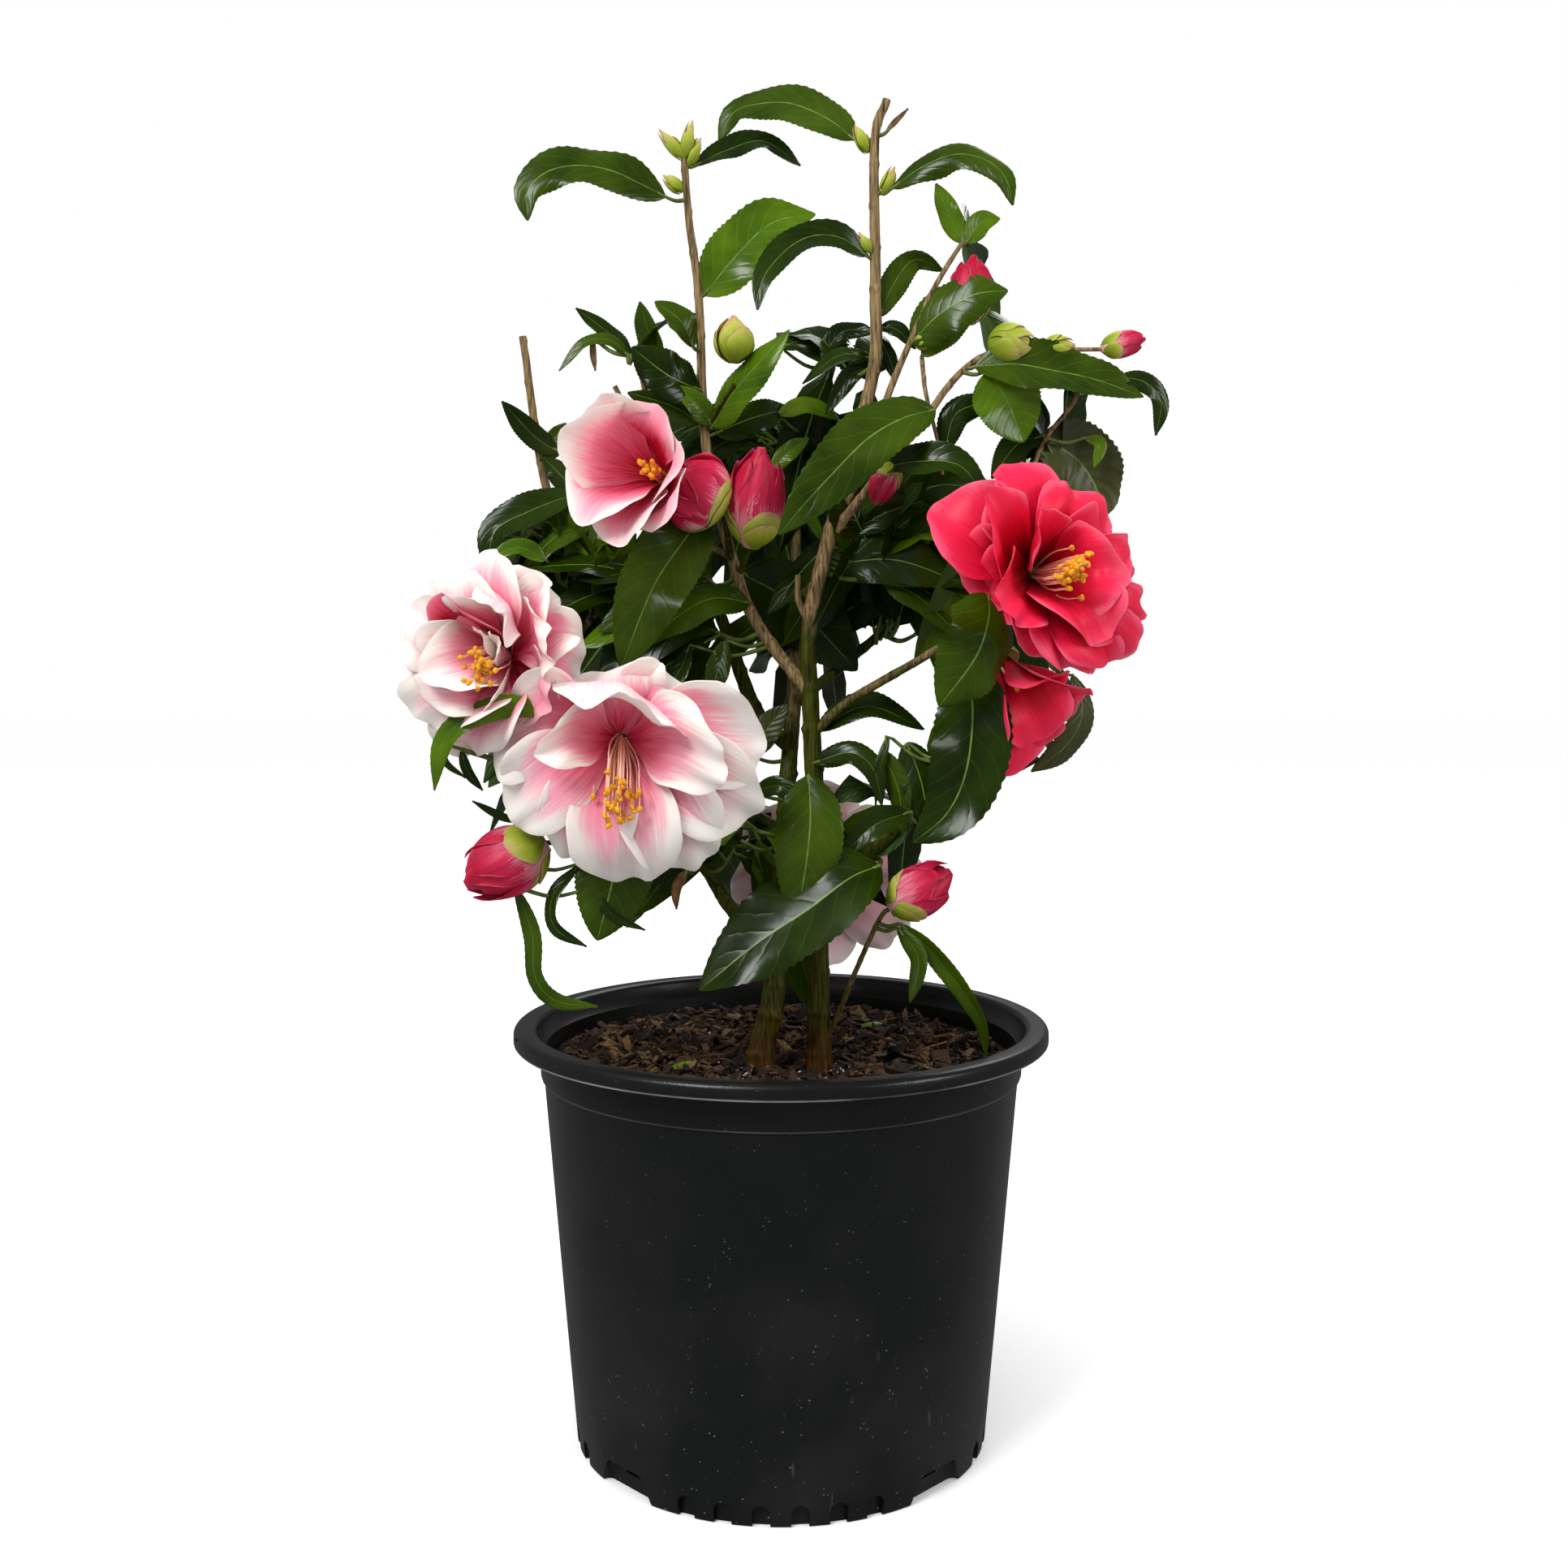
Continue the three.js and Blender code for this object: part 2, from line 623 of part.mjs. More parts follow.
// Each piece is cut clear of everything that grew before it.
let grownSoFar = wasm.Manifold.union([]);
for (const description of limbs) {
  const body = limb(description).subtract(grownSoFar);
  group.add(meshOf(description.name, largestPiece(body), description.finish));
  grownSoFar = grownSoFar.add(limb(description, GAP));
}

for (const [name, finish, pieces] of masses) {
  const body = joined(pieces.map((piece) => piece(0))).subtract(grownSoFar);
  group.add(meshOf(name, largestPiece(body), finish));
  grownSoFar = grownSoFar.add(joined(pieces.map((piece) => piece(MASS_GAP))));
}

export default group;
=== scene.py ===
"""A camellia in bloom in its nursery pot: the finish of every surface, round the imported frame."""

import math
import random

import bpy
import numpy as np
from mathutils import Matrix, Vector, noise


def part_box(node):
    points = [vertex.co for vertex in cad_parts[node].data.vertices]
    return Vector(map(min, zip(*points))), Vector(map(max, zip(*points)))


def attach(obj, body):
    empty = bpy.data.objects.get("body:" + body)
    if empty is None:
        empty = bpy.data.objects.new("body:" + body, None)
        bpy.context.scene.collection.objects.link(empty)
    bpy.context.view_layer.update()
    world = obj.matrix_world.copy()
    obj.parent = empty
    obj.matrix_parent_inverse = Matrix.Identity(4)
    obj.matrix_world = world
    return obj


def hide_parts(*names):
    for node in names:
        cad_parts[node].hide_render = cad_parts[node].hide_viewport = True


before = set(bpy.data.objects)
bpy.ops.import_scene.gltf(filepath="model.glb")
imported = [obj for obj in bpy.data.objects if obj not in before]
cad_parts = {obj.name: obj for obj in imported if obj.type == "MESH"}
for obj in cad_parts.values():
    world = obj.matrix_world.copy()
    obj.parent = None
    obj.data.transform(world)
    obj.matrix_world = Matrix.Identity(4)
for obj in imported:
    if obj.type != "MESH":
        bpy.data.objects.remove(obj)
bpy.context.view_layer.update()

# The viewpoint: a camera three quarters of a metre in front of the plant's axis, a little above
# the plant's middle and tipped down by a few degrees, so that pot and crown fill the view.
eye_distance = 0.760
eye_height = 0.360
eye_offset = 0.00135
eye_tilt = 0.0629
bpy.ops.object.camera_add(
    location=(eye_offset, -eye_distance, eye_height),
    rotation=(math.pi / 2 - eye_tilt, 0, 0),
)
camera = bpy.context.object
camera.name = "camera"
camera.data.sensor_width = 36.0
camera.data.lens = 36.725
camera.data.clip_start = 0.01
bpy.context.scene.camera = camera
bpy.context.scene.view_settings.view_transform = "Standard"


def at(x, z, depth=0.0):
    """A place in metres. It is given in mm as it looks from the front, on the plane through the
    pot's axis, and is then carried along the line of sight to its depth behind that plane."""
    reach = 1 + depth * 0.001 / eye_distance
    height = eye_height + (z * 0.001 - eye_height) * reach
    return np.array((x * 0.001 * reach, depth * 0.001, height))


# Values and colours of a material's node tree. Python's operators add the Math nodes, and one
# method adds any other node.
class Paint:
    def __init__(self, tree, socket=None):
        self.tree = tree
        self.socket = socket

    def node(self, kind, inputs=None, output=0, stops=None, **settings):
        made = self.tree.nodes.new("ShaderNode" + kind)
        for name, value in settings.items():
            setattr(made, name, value)
        if stops:
            elements = made.color_ramp.elements
            for element, (place, colour) in zip(elements, (stops[0], stops[-1])):
                element.position = place
                element.color = colour
            for place, colour in stops[1:-1]:
                elements.new(place).color = colour
        for name, value in (inputs or {}).items():
            if isinstance(value, Paint):
                self.tree.links.new(value.socket, made.inputs[name])
            else:
                made.inputs[name].default_value = value
        return Paint(self.tree, made.outputs[output])

    def arithmetic(self, operation, first, second=0.0):
        return self.node("Math", {0: first, 1: second}, operation=operation)

    def __add__(self, other):
        return self.arithmetic("ADD", self, other)

    def __radd__(self, other):
        return self.arithmetic("ADD", other, self)

    def __sub__(self, other):
        return self.arithmetic("SUBTRACT", self, other)

    def __rsub__(self, other):
        return self.arithmetic("SUBTRACT", other, self)

    def __mul__(self, other):
        return self.arithmetic("MULTIPLY", self, other)

    def __rmul__(self, other):
        return self.arithmetic("MULTIPLY", other, self)

    def __pow__(self, other):
        return self.arithmetic("POWER", self, other)

    def __abs__(self):
        return self.arithmetic("ABSOLUTE", self)

    def limited(self):
        return self.node("Clamp", {"Value": self})

    def tinted(self, low, high):
        """The colour low where this value is 0 and high where it is 1."""
        return self.node("Mix", {0: self, 6: low, 7: high}, 2, data_type="RGBA")

    def place(self):
        return self.node("TexCoord", output="Object")

    def axis(self, letter):
        """One of the three numbers of a place."""
        return self.node("SeparateXYZ", {"Vector": self}, output=letter)

    def cloud(self, scale, detail):
        """A cloudy pattern that is read at this place."""
        return self.node("TexNoise", {"Vector": self, "Scale": scale, "Detail": detail})

    def stretched(self, across, along):
        """This place with the pattern's scale across and along Z."""
        return self.node("Mapping", {"Vector": self, "Scale": (across, across, along)})

    def relief(self, strength, distance):
        """The surface raised by this value."""
        return self.node("Bump", {"Strength": strength, "Distance": distance, "Height": self})


def ink(code):
    """A colour from its six hexadecimal digits."""
    shares = [int(code[i : i + 2], 16) / 255 for i in (0, 2, 4)]
    linear = [s / 12.92 if s <= 0.04045 else ((s + 0.055) / 1.055) ** 2.4 for s in shares]
    return (*linear, 1.0)


def finish(name, recipe):
    """A material. The recipe takes its empty tree and gives what goes into each socket."""
    material = bpy.data.materials.new(name)
    material.use_nodes = True
    shader = material.node_tree.nodes["Principled BSDF"]
    for socket, value in recipe(Paint(material.node_tree)).items():
        if isinstance(value, Paint):
            material.node_tree.links.new(value.socket, shader.inputs[socket])
        else:
            shader.inputs[socket].default_value = value
    return material


# The studio: a pale floor in front of a white backdrop, in a room that is dimmer than both. One
# large soft lamp hangs at the upper left, weaker ones at the right and behind, and a soft light
# falls from overhead.
room_light = 0.6
room_gloss = 0.16
surround = bpy.data.worlds.new("surround")
surround.use_nodes = True
surround_tree = surround.node_tree
surround_shader = surround_tree.nodes["Background"]
surround_shader.inputs["Color"].default_value = (1, 1, 1, 1)
backdrop = Paint(surround_tree).node("LightPath", output="Is Camera Ray")
mirrored = Paint(surround_tree).node("LightPath", output="Is Glossy Ray")
surround_light = backdrop * (1.0 - room_light) - mirrored * (room_light - room_gloss) + room_light
surround_tree.links.new(surround_light.socket, surround_shader.inputs["Strength"])
bpy.context.scene.world = surround

for lamp_name, place, size, watts in (
    ("lamp_left", (-0.95, -1.25, 1.55), 0.7, 24.0),
    ("lamp_right", (1.4, -0.8, 0.8), 0.6, 8.0),
    ("lamp_back", (0.5, 1.3, 1.5), 1.0, 9.0),
):
    bpy.ops.object.light_add(type="AREA", location=place)
    lamp = bpy.context.object
    lamp.name = lamp_name
    lamp.data.size = size
    lamp.data.energy = watts
    aim = Vector((0, 0, 0.33)) - lamp.location
    lamp.rotation_euler = aim.to_track_quat("-Z", "Y").to_euler()

bpy.ops.object.light_add(type="SUN", rotation=(0.25, -0.2, 0))
overhead = bpy.context.object
overhead.name = "lamp_overhead"
overhead.data.energy = 1.5
overhead.data.angle = 1.1
overhead.visible_glossy = False

floor_side = 30
bpy.ops.object.select_all(action="DESELECT")
bpy.ops.mesh.primitive_plane_add(size=floor_side)
floor = bpy.context.object
floor.name = "floor"
floor_white = {
    "Base Color": (0.9, 0.9, 0.9, 1),
    "Roughness": 0.9,
    "Emission Color": (1, 1, 1, 1),
    "Emission Strength": 0.11,
}
floor.data.materials.append(finish("floor_white", lambda paint: floor_white))
floor.visible_diffuse = False
floor.visible_glossy = False


# The nursery pot: one piece of black plastic, moulded thin. Its lip is rolled over, a plain band
# runs below it, and four feet with rows of arched alcoves hold it off the ground.
pot_height = 0.199
rim_radius = 0.127
lip_width = 0.011
lip_under = 0.1915
lip_edge_round = 0.0016
lip_round = 0.003
band_radius = 0.1144
band_foot = 0.175
edge_softness = 0.001
base_radius = 0.0986
base_round = 0.0012
neck_radius = 0.1128
pot_wall = 0.0018
foot_ring = 0.007
ring_top = 0.015
ring_slope_top = 0.018
floor_top = 0.006
floor_under = 0.0032
disc_radius = 0.040
pot_sides = 160


def wall_radius(height):
    return base_radius + (neck_radius - base_radius) * height / band_foot


def arc(centre, radius, start, end, steps):
    """Points of a round edge, from one angle in degrees to another."""
    angles = np.radians(np.linspace(start, end, steps))
    return [(centre[0] + radius * math.cos(a), centre[1] + radius * math.sin(a)) for a in angles]


ring_inside = base_radius - foot_ring
lip_middle = rim_radius - lip_width + lip_round
pot_profile = [
    (0, 0),
    (disc_radius, 0),
    (disc_radius + 0.005, floor_under),
    (ring_inside - 0.002, floor_under),
    (ring_inside, 0),
    *arc((base_radius - base_round, base_round), base_round, -90, 0, 4),
    (wall_radius(0.06), 0.06),
    (wall_radius(0.12), 0.12),
    (wall_radius(band_foot - 0.0006), band_foot - 0.0006),
    (band_radius - 0.0005, band_foot + 0.0004),
    (band_radius, band_foot + 0.002),
    (band_radius, lip_under - edge_softness),
    (band_radius + edge_softness, lip_under),
    (rim_radius - 0.0022, lip_under - 0.0002),
    *arc((rim_radius - lip_edge_round, lip_under + 0.0014), lip_edge_round, -80, 0, 4),
    *arc((rim_radius - lip_round, pot_height - lip_round), lip_round, 10, 90, 6),
    *arc((lip_middle, pot_height - lip_round), lip_round, 90, 180, 6),
    (band_radius - pot_wall + 0.0012, lip_under),
    (band_radius - pot_wall - 0.0008, lip_under - 0.0022),
    (wall_radius(0.16) - pot_wall, 0.16),
    (wall_radius(ring_slope_top) - pot_wall, ring_slope_top),
    (ring_inside, ring_top),
    (ring_inside, floor_top),
    (0, floor_top),
]
pot_mesh = bpy.data.meshes.new("nursery_pot")
pot_mesh.from_pydata(
    [(radius, 0, height) for radius, height in pot_profile],
    [(i, i + 1) for i in range(len(pot_profile) - 1)],
    [],
)


def work_on(piece):
    """Makes one piece the selected and active one."""
    bpy.ops.object.select_all(action="DESELECT")
    piece.select_set(True)
    bpy.context.view_layer.objects.active = piece


def shown(name, mesh):
    """A new piece of that mesh, ready to be worked on."""
    piece = bpy.data.objects.new(name, mesh)
    bpy.context.scene.collection.objects.link(piece)
    work_on(piece)
    return piece


nursery_pot = shown("nursery_pot", pot_mesh)
bpy.ops.object.mode_set(mode="EDIT")
bpy.ops.mesh.select_all(action="SELECT")
bpy.ops.mesh.spin(steps=pot_sides, angle=2 * math.pi, center=(0, 0, 0), axis=(0, 0, 1))
bpy.ops.mesh.select_all(action="SELECT")
bpy.ops.mesh.remove_doubles(threshold=0.00002)
bpy.ops.mesh.normals_make_consistent(inside=False)
bpy.ops.object.mode_set(mode="OBJECT")

# The foot ring is pressed in from outside: four wide gaps between the feet, with leaning sides,
# and six narrow arched alcoves on each foot. At each gap a drain slot goes on through the ring,
# and two small notches nick the top of the lip.
feet = 4
gap_width = 0.034
gap_top_width = 0.023
gap_height = 0.0125
gap_depth = 0.0056
gap_round = 0.003
alcoves_per_foot = 6
alcove_pitch = math.radians(9.8)
alcove_width = 0.008
alcove_height = 0.010
alcove_depth = 0.003
press_reach = 0.010
foot_turn = 2 * math.pi / feet


def press_alcove(angle):
    """A lying cylinder whose lower half is drawn down past the ground, to cut an arch."""
    bpy.ops.object.select_all(action="DESELECT")
    middle = base_radius + (press_reach - alcove_depth) / 2
    spring = alcove_height - alcove_width / 2
    bpy.ops.mesh.primitive_cylinder_add(
        vertices=20,
        radius=alcove_width / 2,
        depth=alcove_depth + press_reach,
        rotation=(math.pi / 2, 0, 0),
        location=(0, -middle, spring),
    )
    press = bpy.context.object
    bpy.ops.object.transform_apply(location=True, rotation=True, scale=True)
    for corner in press.data.vertices:
        if corner.co.z < spring - 0.0001:
            corner.co.z -= alcove_height
    press.rotation_euler = (0, 0, angle)
    return press


def press_gap(angle):
    """A block with leaning sides and soft edges, to cut the gap between two feet."""
    bpy.ops.object.select_all(action="DESELECT")
    middle = base_radius + (press_reach - gap_depth) / 2
    bpy.ops.mesh.primitive_cube_add(
        size=1,
        scale=(gap_width, gap_depth + press_reach, gap_height + press_reach),
        location=(0, -middle, (gap_height - press_reach) / 2),
    )
    press = bpy.context.object
    bpy.ops.object.transform_apply(location=True, rotation=True, scale=True)
    lean = (gap_width - gap_top_width) / gap_width / gap_height
    for corner in press.data.vertices:
        corner.co.x *= 1 - lean * corner.co.z
    soften = press.modifiers.new("soften", "BEVEL")
    soften.width = gap_round
    soften.segments = 3
    soften.limit_method = "NONE"
    bpy.ops.object.modifier_apply(modifier=soften.name)
    press.rotation_euler = (0, 0, angle)
    return press


presses = []
for foot in range(feet):
    presses.append(press_gap((foot + 0.5) * foot_turn))
    for alcove in range(alcoves_per_foot):
        turn = (alcove - (alcoves_per_foot - 1) / 2) * alcove_pitch
        presses.append(press_alcove(foot * foot_turn + turn))

slot_radius = 0.0925
slot_height = 0.0094
slot_size = (0.006, 0.010, 0.006)
notch_height = 0.1972
notch_size = (0.0022, 0.0052, 0.0011)


def press_slot(x, y, z, size):
    """A block that faces the pot's axis, to cut a slot or a notch."""
    bpy.ops.object.select_all(action="DESELECT")
    bpy.ops.mesh.primitive_cube_add(size=1, location=(x, y, z))
    press = bpy.context.object
    press.scale = size
    press.rotation_euler = (0, 0, math.atan2(y, x))
    return press


for gap in range(feet):
    turn = gap * foot_turn + foot_turn / 2 - math.pi / 2
    x, y = slot_radius * math.cos(turn), slot_radius * math.sin(turn)
    presses.append(press_slot(x, y, slot_height, slot_size))
for x, y in ((-0.1213, -0.0375), (0.1205, 0.040)):
    presses.append(press_slot(x, y, notch_height, notch_size))
bpy.ops.object.select_all(action="DESELECT")
for press in presses:
    press.select_set(True)
bpy.context.view_layer.objects.active = presses[0]
bpy.ops.object.transform_apply(location=True, rotation=True, scale=True)
bpy.ops.object.join()
all_presses = bpy.context.object
work_on(nursery_pot)
cut = nursery_pot.modifiers.new("arches", "BOOLEAN")
cut.operation = "DIFFERENCE"
cut.solver = "EXACT"
cut.use_self = True
cut.object = all_presses
bpy.ops.object.modifier_apply(modifier=cut.name)
bpy.data.objects.remove(all_presses)
bpy.ops.object.shade_smooth_by_angle(angle=math.radians(38))


def pot_plastic(paint):
    """Black, with dust and scratches that thicken towards the ground, and painted highlights: thin
    grey lines, broken up like wear, along the lower edges of the lip and the band."""
    place = paint.place()
    height = place.axis("Z")
    low = (1.0 - height * 6.5).limited()
    cloud = place.cloud(18.0, 6.0)
    dusty = ((cloud - 0.42) * 3.0).limited() * (0.3 + 0.7 * low)
    speck_field = paint.node("TexVoronoi", {"Vector": place, "Scale": 420.0})
    keep = place.cloud(150.0, 1.0)
    specks = (1.0 - speck_field * 4.6).limited() * ((keep - 0.60) * 16.0).limited()
    scratches = ((place.stretched(300.0, 60.0).cloud(1.0, 2.0) - 0.71) * 12.0).limited() * low
    flat = paint.node("VectorMath", {0: place, 1: (1.0, 1.0, 0.0)}, operation="MULTIPLY")
    radius = paint.node("VectorMath", {0: flat}, "Value", operation="LENGTH")
    on_lip = ((radius - (rim_radius - 0.003)) * 900.0).limited()
    on_band = ((radius - (band_radius - 0.0019)) * 900.0).limited()
    # Painted highlights: thin grey lines along the lip's lower edge and the band's foot stand in for
    # the light that these edges catch.
    lip_edge = (1.0 - abs(height - (lip_under + 0.0006)) * 1500.0).limited() * on_lip
    band_edge = (1.0 - abs(height - (band_foot + 0.0007)) * 1800.0).limited() * on_band
    painted_edge_highlight = (lip_edge * 1.3 + band_edge * 0.3) * ((cloud - 0.30) * 3.0).limited()
    marks_and_highlights = (dusty * 0.035 + specks * (0.2 + 0.6 * low) + scratches * 0.14 + painted_edge_highlight).limited()
    return {
        "Base Color": marks_and_highlights.tinted(ink("0d0f0f"), ink("9a988f")),
        "Roughness": (0.29 + dusty * 0.16 + marks_and_highlights * 0.3).limited(),
        "Normal": place.cloud(1100.0, 3.0).relief(0.25, 0.0004),
        "Specular IOR Level": 0.42,
    }


nursery_pot.data.materials.append(finish("pot_plastic", pot_plastic))
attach(nursery_pot, "root")
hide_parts("pot")


# Blades and tubes: what a plant is made of. Leaves, scales and petals are thin closed blades,
# and stems, stalks and filaments are tapering tubes. Growth joins those of one kind.
class Growth:
    def __init__(self):
        self.places, self.quads, self.triangles = [], [], []
        self.quad_finish, self.triangle_finish = [], []
        self.spread, self.tint, self.number = [], [], []
        self.count = 0

    def add(self, places, quads, quad_finish, spread, tint=0.0, triangles=None, cap=0):
        self.places.append(places)
        self.quads.append(quads + self.count)
        self.quad_finish.append(np.broadcast_to(quad_finish, len(quads)))
        if triangles is not None:
            self.triangles.append(triangles + self.count)
            self.triangle_finish.append(np.full(len(triangles), cap))
        self.spread.append(spread)
        self.tint.append(np.broadcast_to(tint, len(places)))
        self.number.append(np.full(len(places), float(len(self.places))))
        self.count += len(places)

    def piece(self, name, finishes, slot, replaced=()):
        """Turns what has grown into one smooth mesh on the plant."""
        faces = np.concatenate(self.quads).tolist()
        patches = list(self.quad_finish)
        if self.triangles:
            faces += np.concatenate(self.triangles).tolist()
            patches += self.triangle_finish
        mesh = bpy.data.meshes.new(name)
        mesh.from_pydata(np.concatenate(self.places), [], faces)
        mesh.polygons.foreach_set("material_index", np.concatenate(patches).astype(np.int32))
        corners = np.empty(len(mesh.loops), np.int32)
        mesh.loops.foreach_get("vertex_index", corners)
        blade_map = mesh.uv_layers.new(name="blade")
        blade_map.data.foreach_set("uv", np.concatenate(self.spread)[corners].ravel())
        for label, values in (("tint", self.tint), ("number", self.number)):
            layer = mesh.attributes.new(label, "FLOAT", "POINT")
            layer.data.foreach_set("value", np.concatenate(values).astype(np.float32))
        for material in finishes:
            mesh.materials.append(material)
        piece = shown(name, mesh)
        bpy.ops.object.shade_smooth_by_angle(angle=math.radians(62))
        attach(piece, "root")
        if replaced:
            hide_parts(*replaced)


def unit(vectors):
    lengths = np.linalg.norm(vectors, axis=-1, keepdims=True)
    return vectors / np.maximum(lengths, 1e-9)


def smooth_path(points, count):
    """Places spaced evenly along a smooth line through the given points."""
    points = np.asarray(points, float)
    ends = 2 * points[0] - points[1], 2 * points[-1] - points[-2]
    padded = np.vstack([ends[0], points, ends[1]])
    spans = len(points) - 1
    travel = np.linspace(0, spans, 24 * spans + 1)
    span = np.minimum(travel.astype(int), spans - 1)
    f = (travel - span)[:, None]
    a, b, c, d = (padded[span + i] for i in range(4))
    line = 0.5 * (2 * b + (c - a) * f)
    line += 0.5 * ((2 * a - 5 * b + 4 * c - d) * f**2 + (3 * b - a - 3 * c + d) * f**3)
    steps = np.linalg.norm(np.diff(line, axis=0), axis=1)
    travelled = np.concatenate([[0], np.cumsum(steps)])
    wanted = np.linspace(0, travelled[-1], count)
    return np.stack([np.interp(wanted, travelled, line[:, i]) for i in range(3)], axis=1)


def ring_faces(count, sides):
    """The faces of a closed skin over that many rings. Its two end places come after them."""
    i, j = np.meshgrid(np.arange(count - 1), np.arange(sides), indexing="ij")
    k = (j + 1) % sides
    corners = (i * sides + j, i * sides + k, (i + 1) * sides + k, (i + 1) * sides + j)
    quads = np.stack(corners, -1).reshape(-1, 4)
    j, k = j[0], k[0]
    foot = np.full(sides, count * sides)
    last = (count - 1) * sides
    caps = np.vstack([np.stack([foot, k, j], 1), np.stack([foot + 1, last + j, last + k], 1)])
    return quads, caps


def add_tube(growth, path, radii, sides, patch=0, tint=0.0, relief=None):
    """A tapering tube along a path, closed at both ends."""
    count = len(path)
    tangent = unit(np.gradient(path, axis=0))
    side = np.cross(tangent[0], (0.3, 1.0, 0.1))
    sideways = np.empty_like(tangent)
    for i in range(count):
        side = side - tangent[i] * np.dot(side, tangent[i])
        side = side / np.linalg.norm(side)
        sideways[i] = side
    other = np.cross(tangent, sideways)
    angle = np.linspace(0, 2 * math.pi, sides, endpoint=False)
    out = sideways[:, None] * np.cos(angle)[:, None] + other[:, None] * np.sin(angle)[:, None]
    reach = np.broadcast_to(np.asarray(radii, float).reshape(-1, 1), (count, sides))
    if relief is not None:
        reach = relief(path[:, None] + out * reach[..., None], reach, angle)
    rings = path[:, None] + out * reach[..., None]
    places = np.vstack([rings.reshape(-1, 3), path[:1], path[-1:]])
    quads, caps = ring_faces(count, sides)
    along = np.repeat(np.linspace(0, 1, count), sides)
    spread = np.stack([np.tile(np.arange(sides) / sides, count), along], 1)
    spread = np.vstack([spread, [(0.5, 0), (0.5, 1)]])
    if np.ndim(tint):
        tint = np.concatenate([np.repeat(tint, sides), tint[:1], tint[-1:]])
    growth.add(places, quads, patch, spread, tint, caps, patch)


def add_blade(growth, grid, thickness, columns, top, under, rib=None, tint=0.0):
    """A thin closed blade over a grid of places. Its two skins share the outermost points."""
    rows, width = grid.shape[:2]
    face = unit(np.cross(np.gradient(grid, axis=0), np.gradient(grid, axis=1)))
    index = np.arange(rows * width).reshape(rows, width)
    upper = grid + face * thickness / 2
    upper[[0, -1]] = grid[[0, -1]]
    upper[:, [0, -1]] = grid[:, [0, -1]]
    lower = grid[1:-1, 1:-1] - face[1:-1, 1:-1] * thickness / 2
    beneath = index.copy()
    numbers = rows * width + np.arange((rows - 2) * (width - 2))
    beneath[1:-1, 1:-1] = numbers.reshape(rows - 2, width - 2)

    def cells(numbers, order):
        corners = (numbers[:-1, :-1], numbers[1:, :-1], numbers[1:, 1:], numbers[:-1, 1:])
        return np.stack([corners[i] for i in order], -1).reshape(-1, 4)

    top_patch = np.full((rows - 1, width - 1), top)
    under_patch = np.full((rows - 1, width - 1), under)
    if rib is not None:
        top_patch[:, (width - 1) // 2] = rib
        under_patch[:, (width - 1) // 2] = rib
    quads = np.vstack([cells(index, (0, 1, 2, 3)), cells(beneath, (0, 3, 2, 1))])
    along = np.broadcast_to(np.linspace(0, 1, rows)[:, None], (rows, width))
    across = np.broadcast_to((columns + 1) / 2, (rows, width))
    spread = np.stack([across, along], -1)
    spread = np.vstack([spread.reshape(-1, 2), spread[1:-1, 1:-1].reshape(-1, 2)])
    places = np.vstack([upper.reshape(-1, 3), lower.reshape(-1, 3)])
    patches = np.concatenate([top_patch.ravel(), under_patch.ravel()])
    growth.add(places, quads, patches, spread, tint)


# The potting mix: moist shredded bark and peat, filled to just under the shoulder and a little
# higher at the wall, with white perlite grains and a few shed scraps of leaf.
soil_top = 0.177
soil_edge = 0.182
soil_flat_radius = 0.050
soil_slope_width = 0.062
soil_lumps = 0.0012


def soil_height(x, y):
    slope = max(0.0, (math.hypot(x, y) - soil_flat_radius) / soil_slope_width)
    lump = noise.noise(Vector((x, y, 0.3)) * 45) * soil_lumps
    return soil_top + (soil_edge - soil_top) * min(slope, 1.0) + lump


ring_gap = 0.0004
wall_gap = 0.0007
floor_gap = 0.0003
soil_sides = 96
soil_steps = 30
soil_radius = wall_radius(soil_edge) - pot_wall - wall_gap
soil_turns = np.linspace(0, 2 * math.pi, soil_sides, endpoint=False)
ways_round = np.stack([np.cos(soil_turns), np.sin(soil_turns)], 1)
soil_places = []
for radius, height in (
    (ring_inside - ring_gap, floor_top + floor_gap),
    (ring_inside - ring_gap, ring_top + floor_gap),
    (wall_radius(ring_slope_top) - pot_wall - wall_gap, ring_slope_top + floor_gap),
):
    soil_places += [(x * radius, y * radius, height) for x, y in ways_round]
for share in np.linspace(1, 0.04, soil_steps):
    soil_places += [(x, y, soil_height(x, y)) for x, y in ways_round * soil_radius * share]
soil_quads, soil_caps = ring_faces(len(soil_places) // soil_sides, soil_sides)
soil_places += [(0, 0, floor_top + floor_gap), (0, 0, soil_height(0, 0))]
soil_places = np.array(soil_places)
soil_bed = Growth()
soil_bed.add(soil_places, soil_quads, 0, soil_places[:, :2] * 4, triangles=soil_caps)


def mottled(low, high, scale, roughness, detail=3.0, start=0.3, gain=2.4, relief=(0.3, 0.0004)):
    """A plain skin that varies a little from place to place, with a fine grain."""

    def recipe(paint):
        grain = paint.place().cloud(scale, detail)
        return {
            "Base Color": ((grain - start) * gain).limited().tinted(ink(low), ink(high)),
            "Roughness": roughness,
            "Normal": grain.relief(*relief),
        }

    return recipe


peat = mottled("0e0703", "38240f", 420.0, 0.95, 6.0, 0.35, 2.6, (0.9, 0.002))
soil_bed.piece("soil_bed", [finish("peat", peat)], "soil", ["soil"])

